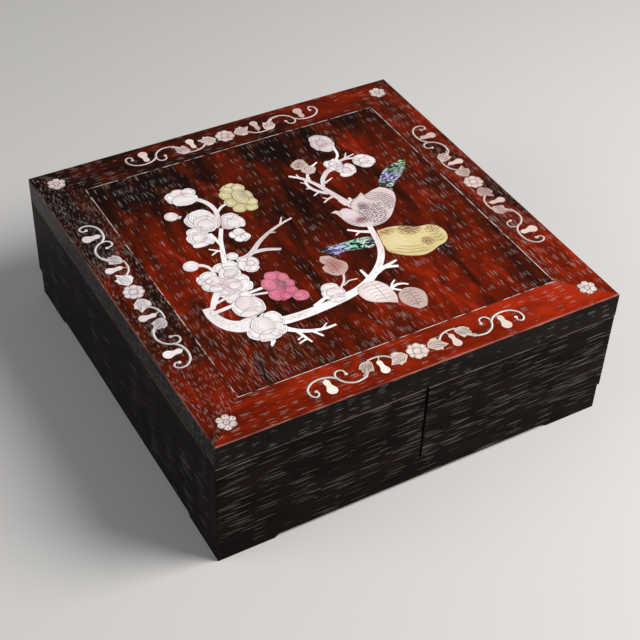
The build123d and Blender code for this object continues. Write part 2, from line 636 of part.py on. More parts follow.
def make_drawer(name, hand):
    """Make the five pieces of one drawer. hand is -1 for the left drawer and 1 for the right one."""
    inner = hand * (divider_thickness / 2 + drawer_side_gap)
    outer = hand * (half_width - wall_thickness - drawer_side_gap)
    box_left, box_right = sorted((inner, outer))
    front_left, front_right = sorted((hand * middle_gap / 2, hand * half_width))
    left_middle = box_left + drawer_side_thickness / 2
    right_middle = box_right - drawer_side_thickness / 2
    clear_left = box_left + drawer_side_thickness
    clear_right = box_right - drawer_side_thickness

    # Front: laps the case all round, with two upright dovetail sockets and a groove for the bottom.
    with BuildPart() as front:
        with BuildSketch(Plane.XY.offset(wall_bottom + seam_gap)):
            plan_box(((front_left + front_right) / 2, -half_depth + front_thickness / 2,
                      front_right - front_left, front_thickness))
        extrude(amount=wall_height - 2 * seam_gap)
        chamfer(front.faces().sort_by(Axis.Y)[0].edges(), seam_arris)
        with BuildSketch(Plane.XY.offset(wall_bottom)):
            Polygon(*slip_outline(left_middle, joint_gap))
            Polygon(*slip_outline(right_middle, joint_gap))
        extrude(amount=box_top - wall_bottom + joint_gap, mode=Mode.SUBTRACT)
        with BuildSketch(Plane.XY.offset(bottom_level)):
            plan_box(((clear_left + clear_right) / 2, front_back_face,
                      clear_right - clear_left + 2 * groove_depth, 2 * (front_back_face - groove_front)))
        extrude(amount=drawer_bottom_thickness + joint_gap, mode=Mode.SUBTRACT)
    finish(front, f"{name}_front")

    # Sides: a dovetailed tongue in front, tails behind, a groove inside for the bottom.
    for side, left, middle in (("left", box_left, left_middle), ("right", clear_right, right_middle)):
        with BuildPart() as drawer_side:
            with BuildSketch(Plane.YZ.offset(left)):
                with BuildLine():
                    Polyline((front_back_face, box_bottom), (box_back, box_bottom), (box_back, back_level),
                             (tail_base, back_level), (tail_base, box_top), (front_back_face, box_top),
                             close=True)
                make_face()
                draw_tails(0, Mode.ADD)
            extrude(amount=drawer_side_thickness)
            with BuildSketch(Plane.XY.offset(box_bottom)):
                Polygon(*slip_outline(middle, 0))
            extrude(amount=box_top - box_bottom)
            with BuildSketch(Plane.XY.offset(bottom_level)):
                plan_box(((clear_left + clear_right) / 2, (groove_front + box_back) / 2,
                          clear_right - clear_left + 2 * groove_depth, box_back - groove_front))
            extrude(amount=drawer_bottom_thickness + joint_gap, mode=Mode.SUBTRACT)
        finish(drawer_side, f"{name}_{side}_side")

    # Back: stands on the bottom, with pins at both ends between the tails of the sides.
    with BuildPart() as back:
        with BuildSketch(Plane.XY.offset(back_level)):
            plan_box(((clear_left + clear_right) / 2, box_back - drawer_back_thickness / 2,
                      clear_right - clear_left, drawer_back_thickness))
        extrude(amount=box_top - back_level)
        for left in (box_left, clear_right):
            with BuildSketch(Plane.YZ.offset(left)):
                with Locations(((tail_base + box_back) / 2, (back_level + box_top) / 2)):
                    Rectangle(drawer_back_thickness, box_top - back_level)
                draw_tails(joint_gap, Mode.SUBTRACT)
            extrude(amount=drawer_side_thickness)
    finish(back, f"{name}_back")

    # Bottom: slides in from behind, under the back.
    with BuildPart() as bottom:
        with BuildSketch(Plane.XY.offset(bottom_level)):
            plan_box(((clear_left + clear_right) / 2, (bottom_front + box_back) / 2,
                      clear_right - clear_left + 2 * (groove_depth - joint_gap), box_back - bottom_front))
        extrude(amount=drawer_bottom_thickness)
    finish(bottom, f"{name}_bottom")


make_drawer("left_drawer", -1)
make_drawer("right_drawer", 1)

# Border inlay: a scroll on each rail and a flower over each mitre.
for side in sides:
    inlay_piece(f"{side}_scroll", scroll_outlines(side), [])
inlay_piece("corner_flowers", corner_outlines, [])

# The picture. Each flower, leaf and bird is cut by itself, so that a saw cut parts it from the
# pieces above it, and the branch is cut last, in one outline.
above = []
for name, outlines in picture.items():
    if name == "picture_branch":
        inlay_piece(name, outlines, above)
        continue
    rims = shapes([widened(outline, kerf) for outline in outlines])
    with BuildPart() as shells:
        for outline, rim in zip(outlines, rims):
            with BuildSketch(Plane.XY.offset(pocket_floor)):
                Polygon(*outline)
                if above:
                    add(above, mode=Mode.SUBTRACT)
            extrude(amount=inlay_thickness)
            above.append(rim)
    finish(shells, name)
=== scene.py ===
import math
import random

import bmesh
import bpy
from mathutils import Matrix, Vector
from mathutils.geometry import tessellate_polygon


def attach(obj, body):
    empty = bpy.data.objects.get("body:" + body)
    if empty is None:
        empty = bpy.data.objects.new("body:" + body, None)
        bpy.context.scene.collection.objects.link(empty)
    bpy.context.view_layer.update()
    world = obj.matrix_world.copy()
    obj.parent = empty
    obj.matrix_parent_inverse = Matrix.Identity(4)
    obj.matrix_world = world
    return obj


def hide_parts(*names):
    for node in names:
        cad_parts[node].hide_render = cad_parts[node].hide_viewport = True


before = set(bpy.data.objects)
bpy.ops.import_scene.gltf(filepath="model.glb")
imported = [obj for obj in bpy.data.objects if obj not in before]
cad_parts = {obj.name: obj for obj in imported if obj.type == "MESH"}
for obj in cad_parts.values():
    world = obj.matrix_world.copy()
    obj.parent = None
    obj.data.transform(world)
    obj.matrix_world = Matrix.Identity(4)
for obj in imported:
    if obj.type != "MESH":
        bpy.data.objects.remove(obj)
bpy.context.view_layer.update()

# The view and the room.
# The case stands by itself on a plain pale floor and is seen from its front left, from above,
# under one broad soft lamp on the right and a weaker one on the left.

MM = 0.001
view_place = (-0.43338, -0.72961, 0.77697)
view_turn = (48.5885, -1.8589, -29.6389)
view_focal_px = 1411.52
view_px = 640
sensor = 36.0
lamp_aim = (0, 0, 0.06)
four_corners = ((-1, -1), (1, -1), (1, 1), (-1, 1))
floor_reach = 6.0
floor_colour = (0.58, 0.57, 0.56)
room_colour = (0.95, 0.97, 1.0, 1.0)
room_light = 0.16
scene = bpy.context.scene
scene.view_settings.view_transform = "Standard"


def new_material(name, colour=None, **plain):
    """A material with its Principled shader. Its even colour and plain sockets are set on the shader."""
    material = bpy.data.materials.new(name)
    material.use_nodes = True
    shader = material.node_tree.nodes["Principled BSDF"]
    if colour:
        shader.inputs["Base Color"].default_value = (*colour, 1.0)
    for socket, value in plain.items():
        shader.inputs[socket.replace("_", " ")].default_value = value
    return material, material.node_tree, shader


def new_piece(name, corners, faces, finish, edges=()):
    """A mesh with one finish, as an object of the scene."""
    mesh = bpy.data.meshes.new(name)
    mesh.from_pydata(corners, edges, faces)
    mesh.materials.append(finish)
    piece = bpy.data.objects.new(name, mesh)
    scene.collection.objects.link(piece)
    return piece


view = bpy.data.cameras.new("view")
view.sensor_width = sensor
view.lens = sensor * view_focal_px / view_px
view_object = bpy.data.objects.new("view", view)
view_object.location = view_place
view_object.rotation_euler = [math.radians(a) for a in view_turn]
scene.collection.objects.link(view_object)
scene.camera = view_object

room = bpy.data.worlds.new("room")
scene.world = room
room.use_nodes = True
room.node_tree.nodes["Background"].inputs[0].default_value = room_colour
room.node_tree.nodes["Background"].inputs[1].default_value = room_light

for name, place, size, watts, colour in (
    ("right_lamp", (0.95, -0.75, 1.35), 1.1, 42.0, (1.0, 0.975, 0.95)),
    ("left_lamp", (-1.35, 0.15, 0.95), 0.9, 7.0, (0.96, 0.98, 1.0)),
):
    lamp = bpy.data.lights.new(name, "AREA")
    lamp.shape = "DISK"
    lamp.size = size
    lamp.energy = watts
    lamp.color = colour
    lamp_object = bpy.data.objects.new(name, lamp)
    lamp_object.location = place
    aim = Vector(lamp_aim) - Vector(place)
    lamp_object.rotation_euler = aim.to_track_quat("-Z", "Y").to_euler()
    scene.collection.objects.link(lamp_object)

floor_corners = [(x * floor_reach, y * floor_reach, 0) for x, y in four_corners]
floor_finish = new_material("pale_floor", floor_colour, Roughness=0.9)[0]
floor = new_piece("floor", floor_corners, [(0, 1, 2, 3)], floor_finish)

# The base frame.
# Four mitred rails of near-black open-grained hardwood stand on feet cut from the rails
# themselves, with a loose spline through each mitre and the floor board between them.

base_rails = ["base_front_rail", "base_back_rail", "base_left_rail", "base_right_rail"]
stain_dark = (0.0036, 0.0027, 0.0024)
stain_light = (0.0100, 0.0054, 0.0045)
stain_pore = (0.420, 0.370, 0.345)
# The paler colour of the stain's chamfered edges: partly wear, partly a painted highlight.
stain_rubbed_highlight = (0.200, 0.140, 0.110)
stain_pore_size = (0.0280, 0.00048)
# The last of these three is how strongly the chamfered edges turn paler, partly wear and partly painted
# highlight.
stain_fill, stain_patch, stain_wear_highlight = 0.76, 0.9, 0.55
stain_figure = (0.38, 0.64)
base_cover = 0.30
usual_patch = 0.5
patch_scale, patch_swing = 24.0, 2.4
least_pore, pore_growth, pore_core_share = 0.15, 0.24, 0.7
dull_pore, pore_shine, shine_power = 0.28, 0.72, 1.8
arris_slant = (0.06, 0.18)
arris_broken = (0.36, 0.56, 0.15, 1.0)
# A board's surface: its roughness, what a pore adds to it, the strength and depth of the relief of the
# pores, and how far the fibres stand up in it.
stain_surface = (0.44, 0.20, 0.45, 0.00012, 0.25)
fibre_scale = (45.0, 1500.0, 1500.0)
figure_scale = (22.0, 72.0, 72.0)


def node(tree, kind, feeds=None, **settings):
    """One node of a tree, with its sockets fed by a number, a colour or another socket."""
    made = tree.nodes.new(kind)
    for name, value in settings.items():
        setattr(made, name, value)
    for name, value in (feeds or {}).items():
        if isinstance(value, bpy.types.NodeSocket):
            tree.links.new(value, made.inputs[name])
        else:
            made.inputs[name].default_value = value
    return made


def reckon(tree, operation, *values, clamp=False):
    """The result of one Math node."""
    feeds = dict(enumerate(values))
    return node(tree, "ShaderNodeMath", feeds, operation=operation, use_clamp=clamp).outputs[0]


def tint(tree, share, first, second, way="MIX"):
    """Two colours, each a socket or (red, green, blue), mixed by a share of the second."""
    first, second = (c if isinstance(c, bpy.types.NodeSocket) else (*c, 1.0) for c in (first, second))
    feeds = {0: share, 6: first, 7: second}
    return node(tree, "ShaderNodeMix", feeds, data_type="RGBA", blend_type=way).outputs[2]


def stepped(tree, value, low, high, start=0.0, end=1.0):
    """A value eased from start to end while it goes from low to high."""
    feeds = {"Value": value, "From Min": low, "From Max": high, "To Min": start, "To Max": end}
    return node(tree, "ShaderNodeMapRange", feeds, interpolation_type="SMOOTHSTEP").outputs[0]


def own_place(tree):
    """Where a point lies on the object."""
    return node(tree, "ShaderNodeTexCoord").outputs["Object"]


def spread(tree, place, by, operation="MULTIPLY"):
    """A place reckoned axis by axis with another."""
    return node(tree, "ShaderNodeVectorMath", {0: place, 1: by}, operation=operation).outputs[0]


def cloud(tree, place, scale=1.0, detail=3.0, distortion=0.0, roughness=0.5):
    """Soft noise over a place."""
    feeds = {"Vector": place, "Scale": scale, "Detail": detail, "Distortion": distortion}
    feeds["Roughness"] = roughness
    return node(tree, "ShaderNodeTexNoise", feeds).outputs[0]


def upright_share(tree):
    """How far a face looks up or, below 0, down."""
    facing = node(tree, "ShaderNodeNewGeometry").outputs["True Normal"]
    return node(tree, "ShaderNodeSeparateXYZ", {0: facing}).outputs["Z"]


def new_group(name, inputs, *outputs):
    """An empty shader group. An input given as None takes a place, and all other sockets are numbers."""
    group = bpy.data.node_groups.new(name, "ShaderNodeTree")
    for socket, value in inputs.items():
        kind = "NodeSocketVector" if value is None else "NodeSocketFloat"
        made = group.interface.new_socket(socket, in_out="INPUT", socket_type=kind)
        if value is not None:
            made.default_value = value
    for socket in outputs:
        group.interface.new_socket(socket, in_out="OUTPUT", socket_type="NodeSocketFloat")
    return group, group.nodes.new("NodeGroupInput").outputs, group.nodes.new("NodeGroupOutput").inputs


def use_group(tree, group, feeds):
    """The outputs of one use of a group in a material."""
    return node(tree, "ShaderNodeGroup", feeds, node_tree=group).outputs


grain_group, grain_in, grain_out = new_group(
    "open_grain",
    {"Place": None, "Pore Length": 0.010, "Pore Width": 0.0007, "Cover": 0.4, "Patch": usual_patch},
    "Pores", "Fibre", "Figure",
)
pore_size = {0: grain_in["Pore Length"], 1: grain_in["Pore Width"], 2: grain_in["Pore Width"]}
pore_size = node(grain_group, "ShaderNodeCombineXYZ", pore_size).outputs[0]
pore_place = spread(grain_group, grain_in["Place"], pore_size, "DIVIDE")
pore_cell = node(grain_group, "ShaderNodeTexVoronoi", {"Vector": pore_place, "Scale": 1.0}).outputs
pore_chance, pore_bulk, pore_bloom = node(
    grain_group, "ShaderNodeSeparateColor", {"Color": pore_cell["Color"]}
).outputs
patch_noise = cloud(grain_group, grain_in["Place"], patch_scale, detail=2.0)
patch_share = reckon(grain_group, "MULTIPLY_ADD", patch_noise, patch_swing, -patch_swing / 2)
pore_share = reckon(grain_group, "MULTIPLY", patch_share, grain_in["Patch"])
pore_share = reckon(grain_group, "ADD", grain_in["Cover"], pore_share)
pores = reckon(grain_group, "LESS_THAN", pore_chance, pore_share)
pore_reach = reckon(grain_group, "MULTIPLY_ADD", pore_bulk, pore_growth, least_pore)
pore_core = reckon(grain_group, "MULTIPLY", pore_reach, pore_core_share)
pore_dash = stepped(grain_group, pore_cell["Distance"], pore_core, pore_reach, 1.0, 0.0)
pores = reckon(grain_group, "MULTIPLY", pores, pore_dash)
pore_bright = reckon(grain_group, "POWER", pore_bloom, shine_power)
pore_bright = reckon(grain_group, "MULTIPLY_ADD", pore_bright, pore_shine, dull_pore)
grain_group.links.new(reckon(grain_group, "MULTIPLY", pores, pore_bright), grain_out["Pores"])
fibre = cloud(grain_group, spread(grain_group, grain_in["Place"], fibre_scale))
grain_group.links.new(fibre, grain_out["Fibre"])
figure = spread(grain_group, grain_in["Place"], figure_scale)
figure = cloud(grain_group, figure, detail=4.0, distortion=0.6, roughness=0.62)
grain_group.links.new(figure, grain_out["Figure"])

# The chamfered faces, found by their slant, where a paler colour is painted: partly wear, partly a painted
# highlight.
arris_group, _, arris_out = new_group("rubbed_and_highlit_arris", {}, "Arris")
upright = reckon(arris_group, "ABSOLUTE", upright_share(arris_group))
slanted = reckon(arris_group, "MULTIPLY", upright, reckon(arris_group, "SUBTRACT", 1.0, upright))
arris_group.links.new(stepped(arris_group, slanted, *arris_slant), arris_out["Arris"])


def grain_of(tree, turn, shift, length, width, cover, patch=usual_patch):
    """The place laid along a board, and the grain group there: turn is the angle of the fibres from the
    case's width, cover the share of pores that show and patch how much it varies from place to place."""
    feeds = {"Vector": own_place(tree), "Rotation": (0, 0, math.radians(-turn)), "Location": shift}
    laid = node(tree, "ShaderNodeMapping", feeds).outputs[0]
    feeds = {"Place": laid, "Pore Length": length, "Pore Width": width, "Cover": cover, "Patch": patch}
    return laid, use_group(tree, grain_group, feeds)


def stained(tree, grain, filled):
    """The near-black stain, with its open pores filled pale."""
    stain = tint(tree, stepped(tree, grain["Figure"], *stain_figure), stain_dark, stain_light)
    return tint(tree, filled, stain, stain_pore)


def worn_and_highlit(tree, grain, share, colour, bare):
    """A colour worn through to a paler one on the chamfered edges, broken up along the fibres. The paler edge
    is partly wear and partly a painted highlight where the chamfers catch the light.
    """
    arris = use_group(tree, arris_group, {})["Arris"]
    broken = stepped(tree, grain["Figure"], *arris_broken)
    rubbed_highlight = reckon(tree, "MULTIPLY", reckon(tree, "MULTIPLY", arris, broken), share)
    return tint(tree, rubbed_highlight, colour, bare)


def surfaced(tree, shader, grain, colour, rough, pore_rough, strength, depth, fibre_rise=0.0):
    """Leads a board's colour, its roughness and the relief of its sunk pores to its shader."""
    tree.links.new(colour, shader.inputs["Base Color"])
    rough = reckon(tree, "MULTIPLY_ADD", grain["Pores"], pore_rough, rough)
    tree.links.new(rough, shader.inputs["Roughness"])
    height = reckon(tree, "MULTIPLY", grain["Pores"], -1.0)
    if fibre_rise:
        height = reckon(tree, "MULTIPLY_ADD", grain["Fibre"], fibre_rise, height)
    relief = node(tree, "ShaderNodeBump", {"Strength": strength, "Distance": depth, "Height": height})
    tree.links.new(relief.outputs[0], shader.inputs["Normal"])


def stained_board(name, turn, shift, cover):
    """Near-black stained board with pale open pores and its chamfered edges a little lighter: partly wear,
    partly a painted highlight.
    """
    board, tree, shader = new_material(name, IOR=1.45, Specular_IOR_Level=0.03)
    grain = grain_of(tree, turn, shift, *stain_pore_size, cover, stain_patch)[1]
    colour = stained(tree, grain, reckon(tree, "MULTIPLY", grain["Pores"], stain_fill))
    colour = worn_and_highlit(tree, grain, stain_wear_highlight, colour, stain_rubbed_highlight)
    surfaced(tree, shader, grain, colour, *stain_surface)
    return board


def finish_node(name, material):
    """A piece of the case keeps its mesh and takes a finish."""
    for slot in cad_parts[name].material_slots:
        slot.material = material


for number, (name, turn) in enumerate(zip(base_rails, (0, 0, 90, 90))):
    finish_node(name, stained_board(name + "_stain", turn, (0.3 * number, 0.11, 0.05), base_cover))

# The inside of the case.
# The floor board, the centre divider, the battens under the top and the splines are
# the same timber left bare: planed, lightly oiled and browner than the outside.

bare_deep = (0.150, 0.068, 0.036)
bare_pale = (0.270, 0.140, 0.075)
bare_pore = (0.060, 0.026, 0.014)
bare_band_scale = (3.0, 110.0, 110.0)
bare_pore_size = (0.0090, 0.00070)
bare_cover, bare_fill = 0.75, 0.75
bare_bands, bare_fibres = (0.34, 0.66), (0.30, 0.70)
bare_surface = (0.50, 0.18, 0.4, 0.0001)
fibre_shade = (0.86, 0.84, 0.82)
fibre_light = (1.08, 1.07, 1.06)


def bare_board(name, turn, shift):
    """Planed, oiled hardwood with darker pores."""
    board, tree, shader = new_material(name, IOR=1.45, Specular_IOR_Level=0.35)
    laid, grain = grain_of(tree, turn, shift, *bare_pore_size, bare_cover)
    bands = cloud(tree, spread(tree, laid, bare_band_scale), distortion=0.2)
    timber = tint(tree, stepped(tree, bands, *bare_bands), bare_deep, bare_pale)
    fibre = tint(tree, stepped(tree, grain["Fibre"], *bare_fibres), fibre_shade, fibre_light)
    timber = tint(tree, 1.0, timber, fibre, "MULTIPLY")
    timber = tint(tree, reckon(tree, "MULTIPLY", grain["Pores"], bare_fill), timber, bare_pore)
    surfaced(tree, shader, grain, timber, *bare_surface)
    return board


bare_across = bare_board("bare_across", 0, (0.7, 0.2, 0.1))
bare_along = bare_board("bare_along", 90, (0.2, 0.5, 0.3))
for name in ("floor_board", "front_batten", "back_batten", "top_splines", "base_splines"):
    finish_node(name, bare_across)
finish_node("centre_divider", bare_along)

# The outer walls.
# Two side boards and a back panel of the stained hardwood, their grain level, tongued
# into the base frame and the top frame.

finish_node("left_side", stained_board("left_side_stain", 90, (1.3, 0.4, 0.0), 0.25))
finish_node("right_side", stained_board("right_side_stain", 90, (2.1, 0.9, 0.2), 0.80))
finish_node("back_panel", stained_board("back_panel_stain", 0, (0.9, 1.7, 0.4), 0.80))

# The two drawers.
# Each has a stained front over a dovetailed box of bare hardwood with a grooved-in bottom.
# They have no pulls and part at a narrow gap on the middle line.

for hand, shift, cover in (("left", 2.7, 0.58), ("right", 1.9, 0.85)):
    front_stain = stained_board(hand + "_front_stain", 0, (0.4 + shift, 0.8, 0.6), cover)
    finish_node(hand + "_drawer_front", front_stain)
    for part in ("left_side", "right_side", "bottom"):
        finish_node(f"{hand}_drawer_{part}", bare_along)
    finish_node(f"{hand}_drawer_back", bare_across)

# The top.
# A mitred frame of four rails holds a floating panel. Rails and panel are rosewood under a
# red lacquer: the wood's dark figure shows through it, and its open pores have filled pale. The red also
# carries painted light: brighter on the front rail and towards the front and right, darker towards the
# back and left. The narrow seam round the panel is a sheet painted black as the gap's shade, with pale
# patches as a painted highlight on its edges.

lacquer_black = (0.0085, 0.0034, 0.0026)
lacquer_stops = (
    (0.0, lacquer_black), (0.25, (0.0340, 0.0058, 0.0022)),
    (0.60, (0.1250, 0.0090, 0.0018)), (1.0, (0.3000, 0.0190, 0.0040)),
)
lacquer_pore = (0.920, 0.820, 0.780)
# The paler colour of the lacquer's chamfered edges: partly worn lacquer, partly a painted highlight.
lacquer_rubbed_highlight = (0.420, 0.200, 0.170)
lacquer_pore_length, lacquer_pore_width = 0.0120, 0.00038
# The second of these is how strongly the chamfered edges turn paler, partly worn lacquer and partly painted
# highlight.
lacquer_fill, lacquer_wear_highlight = 0.95, 0.45
figure_swing, fibre_swing = 1.7, 0.5
lacquer_surface = (0.30, 0.25, 0.35, 0.0001)
upper_face = (0.15, 0.35)

spot_group, spot_in, spot_out = new_group("soft_spot", {"Place": None, "Centre": None, "Reach": None}, "Spot")
spot_way = spread(spot_group, spot_in["Place"], spot_in["Centre"], "SUBTRACT")
spot_way = spread(spot_group, spot_way, spot_in["Reach"], "DIVIDE")
spot_far = node(spot_group, "ShaderNodeVectorMath", {0: spot_way}, operation="LENGTH").outputs["Value"]
spot_group.links.new(stepped(spot_group, spot_far, 0.0, 1.0, 1.0, 0.0), spot_out["Spot"])


def flat_place(tree):
    """Where a point lies on the object, seen from above."""
    return spread(tree, own_place(tree), (1, 1, 0))


def spot_at(tree, flat, x, y, reach_x, reach_y):
    """How far a flat place lies inside a soft spot, from 0 at its rim to 1 at its centre (x, y)."""
    feeds = {"Place": flat, "Centre": (x * MM, y * MM, 0), "Reach": (reach_x * MM, reach_y * MM, 1)}
    return use_group(tree, spot_group, feeds)["Spot"]


def ramp(tree, share, stops):
    """The colour at a share of the way along some stops, each (position, colour)."""
    made = node(tree, "ShaderNodeValToRGB", {"Fac": share})
    while len(made.color_ramp.elements) < len(stops):
        made.color_ramp.elements.new(0.5)
    for element, (position, colour) in zip(made.color_ramp.elements, stops):
        element.position = position
        element.color = (*colour, 1.0)
    return made.outputs[0]


def lacquered_board(name, turn, shift, level, cover, spots, pore_spots, pore_length=lacquer_pore_length):
    """Red lacquer over figured rosewood. level runs from 0, near-black, to 1, bright red, and each spot
    (x, y, reach along x, reach along y, rise), in millimetres, is a place where the level or, in
    pore_spots, the share of open pores is higher or lower. The levels and their spots hold the lacquer's
    own figure and also painted light: higher towards the front and right, lower towards the back and left."""
    board, tree, shader = new_material(name, IOR=1.5, Specular_IOR_Level=0.04)
    flat = flat_place(tree)

    def raised(total, list_of_spots):
        for *spot, rise in list_of_spots:
            total = reckon(tree, "MULTIPLY_ADD", spot_at(tree, flat, *spot), rise, total)
        return total

    cover = raised(cover, pore_spots)
    grain = grain_of(tree, turn, shift, pore_length, lacquer_pore_width, cover)[1]
    swing = reckon(tree, "MULTIPLY_ADD", grain["Figure"], figure_swing, -figure_swing / 2)
    fibre = reckon(tree, "MULTIPLY_ADD", grain["Fibre"], fibre_swing, -fibre_swing / 2)
    # The lacquer's figure together with painted light, brighter towards the front and right and darker
    # towards the back and left.
    tone = reckon(tree, "ADD", reckon(tree, "ADD", raised(level, spots), swing), fibre, clamp=True)
    filled = reckon(tree, "MULTIPLY", grain["Pores"], lacquer_fill)
    colour = tint(tree, filled, ramp(tree, tone, lacquer_stops), lacquer_pore)
    upper = stepped(tree, upright_share(tree), *upper_face)
    colour = tint(tree, upper, stained(tree, grain, filled), colour)
    colour = worn_and_highlit(tree, grain, lacquer_wear_highlight, colour, lacquer_rubbed_highlight)
    surfaced(tree, shader, grain, colour, *lacquer_surface)
    return board


# The levels and level spots below are partly the lacquer's own figure and partly painted light: the front
# rail and the front and right are painted brighter, the back and left darker.
for part, *board in (
    ("front_rail", 0, (0.1, 0.7, 0.0), 0.70, 0.22,
     [(140, -150, 150, 60, 0.25), (-150, -150, 60, 40, -0.12)],
     [(-110, -148, 70, 30, 0.25)]),
    ("back_rail", 0, (0.6, 1.2, 0.0), 0.24, 0.25,
     [(105, 150, 75, 40, 0.38), (-150, 150, 90, 50, -0.14), (-20, 150, 60, 30, 0.08)],
     [(-130, 150, 60, 40, 0.30)]),
    ("left_rail", 90, (1.1, 0.3, 0.0), 0.26, 0.75,
     [(-145, -130, 50, 90, 0.34), (-150, 110, 60, 120, -0.20)],
     [(-150, 80, 40, 110, 0.50)], 0.0070),
    ("right_rail", 90, (1.6, 0.8, 0.0), 0.46, 0.55,
     [(150, -120, 60, 90, 0.22), (155, 120, 60, 70, 0.04)],
     [(152, -60, 40, 110, 0.25)]),
    ("panel", 90, (0.5, 1.5, 0.0), 0.37, 0.22,
     [(-100, 115, 90, 60, -0.38), (40, 112, 70, 50, -0.34), (115, 115, 45, 50, -0.22),
      (8, 40, 40, 100, -0.22), (88, 98, 22, 30, 0.45), (-110, -20, 60, 90, 0.24),
      (70, -100, 70, 60, 0.30), (0, -112, 60, 40, 0.22), (104, -40, 40, 80, 0.08),
      (-70, -115, 70, 35, -0.06), (50, 20, 50, 45, 0.06)],
     [(-95, 110, 80, 50, 0.30), (-95, -105, 60, 45, 0.90), (-112, -50, 30, 70, 0.50),
      (-20, -115, 90, 25, 0.35), (115, 20, 30, 130, 0.30), (60, 10, 60, 60, -0.22),
      (-25, -5, 30, 60, -0.20)]),
):
    finish_node("top_" + part, lacquered_board(part + "_lacquer", *board))


def fitted(piece, node_name=None):
    """A piece let into the case, which may take the place of a node."""
    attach(piece, "case")
    if node_name:
        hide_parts(node_name)


# The seam round the panel: a thin sheet in the gap, painted black as the gap's shade, with pale patches as a
# painted highlight on its edges.
seam_half = 0.131
seam_gap = 0.00056
seam_top = 0.11597
seam_floor = 0.1120
seam_highlight_pale = (0.62, 0.55, 0.52)
seam_cloud_scale, seam_breaks = 150.0, (0.40, 0.58)
seam_shade_and_highlight, seam_tree, seam_shader = new_material("seam_shade_and_highlight", Roughness=0.8)
seam_cloud = cloud(seam_tree, own_place(seam_tree), seam_cloud_scale)
seam_share = stepped(seam_tree, seam_cloud, *seam_breaks)
seam_colour = tint(seam_tree, seam_share, lacquer_black, seam_highlight_pale)
seam_tree.links.new(seam_colour, seam_shader.inputs["Base Color"])
seam_corners, seam_faces = [], []
for level in (seam_floor, seam_top):
    for half in (seam_half, seam_half - seam_gap):
        seam_corners += [(x * half, y * half, level) for x, y in four_corners]
for i in range(4):
    j = (i + 1) % 4
    seam_faces += [(i, j, 8 + j, 8 + i), (4 + j, 4 + i, 12 + i, 12 + j)]
    seam_faces += [(8 + i, 8 + j, 12 + j, 12 + i), (j, i, 4 + i, 4 + j)]
fitted(new_piece("panel_seam", seam_corners, seam_faces, seam_shade_and_highlight))

# The shell scrolls.
# One runs along the middle of each rail: a flower between two mirrored sprays of stem, leaf and
# gourd, sawn from pale mother-of-pearl, glued into the rail and polished nearly level.

shell_top = 0.11612
shell_depth = 0.0009
shell_round = 0.00016
shell_drop = 0.00006
ground_drop = 0.00009
engraved_top = 0.11615
stem_drop = 0.00002
stroke_width = 0.30
bar_tone = 0.75
bar_flat, bar_fall = 0.82, 0.1
curve_knot = 0.0006
petal_wave = 0.025
petal_rings = (0.955, 0.70, 0.40)
petal_arcs, petal_arc_sizes = (0.80, 0.62, 0.44), (9, 14)
petal_shade, petal_fade, petal_chance = 0.55, 0.45, 0.3
flower_uneven = 0.06
first_layer = 0.11605
layer_step = 0.000018
stroke_lift = 0.000009
rim_half = 0.17
vein_half = 0.12
vein_turn, vein_run = 30, ((0.66, -4), (0.80, 0), (0.94, 3))
scroll_line = 0.148
stem_half, hook_half, stem_thinning = 1.064, 0.5225, 0.3
stem_end = 1.35
leaf_corner, round_corner = 36.0, 75.0
scroll_cell = 70.0
blush_share, chill_share = 0.55, 0.30
blush_edge, chill_edge, chill_finer = (0.42, 0.66), (0.52, 0.68), 2.3
dot_edge, dot_uneven = (0.22, 0.42), 0.45
shell_rough, growth_rough = 0.22, 0.10
growth_dark, growth_pale = (0.90, 0.89, 0.90), (1.0, 1.0, 1.0)
tone_dark, tone_pale = (0.74, 0.66, 0.67), (1.05, 1.05, 1.05)
rail_pearls = {
    "front": ((0.86, 0.80, 0.72), (0.80, 0.68, 0.58), (0.76, 0.75, 0.66)),
    "back": ((0.82, 0.68, 0.64), (0.74, 0.54, 0.50), (0.70, 0.62, 0.60)),
    "left": ((0.84, 0.80, 0.79), (0.76, 0.66, 0.64), (0.68, 0.70, 0.72)),
    "right": ((0.78, 0.64, 0.58), (0.70, 0.50, 0.44), (0.68, 0.60, 0.54)),
}
rail_leaf_pearls = {
    "front": ((0.80, 0.72, 0.62), (0.72, 0.58, 0.48), (0.76, 0.72, 0.62)),
    "back": ((0.76, 0.62, 0.58), (0.68, 0.50, 0.46), (0.70, 0.62, 0.60)),
    "left": ((0.82, 0.80, 0.79), (0.74, 0.67, 0.66), (0.68, 0.70, 0.72)),
    "right": ((0.62, 0.48, 0.42), (0.52, 0.36, 0.31), (0.60, 0.52, 0.46)),
}
scroll_ink = (0.052, 0.034, 0.028)
ink_rough, stroke_taper = 0.5, 0.4

lights_group, lights_in, lights_out = new_group(
    "shell_lights", {"Place": None, "Cell": 60.0, "Growth Scale": 260.0}, "Blush", "Chill", "Growth"
)
blush = cloud(lights_group, lights_in["Place"], lights_in["Cell"], distortion=1.2)
lights_group.links.new(stepped(lights_group, blush, *blush_edge), lights_out["Blush"])
chill_scale = reckon(lights_group, "MULTIPLY", lights_in["Cell"], chill_finer)
chill = cloud(lights_group, lights_in["Place"], chill_scale, detail=2.0, distortion=2.0)
lights_group.links.new(stepped(lights_group, chill, *chill_edge), lights_out["Chill"])
growth = {"Vector": lights_in["Place"], "Scale": lights_in["Growth Scale"], "Distortion": 7.0, "Detail": 2.0}
growth = node(lights_group, "ShaderNodeTexWave", growth, wave_type="BANDS", bands_direction="DIAGONAL")
lights_group.links.new(growth.outputs["Fac"], lights_out["Growth"])

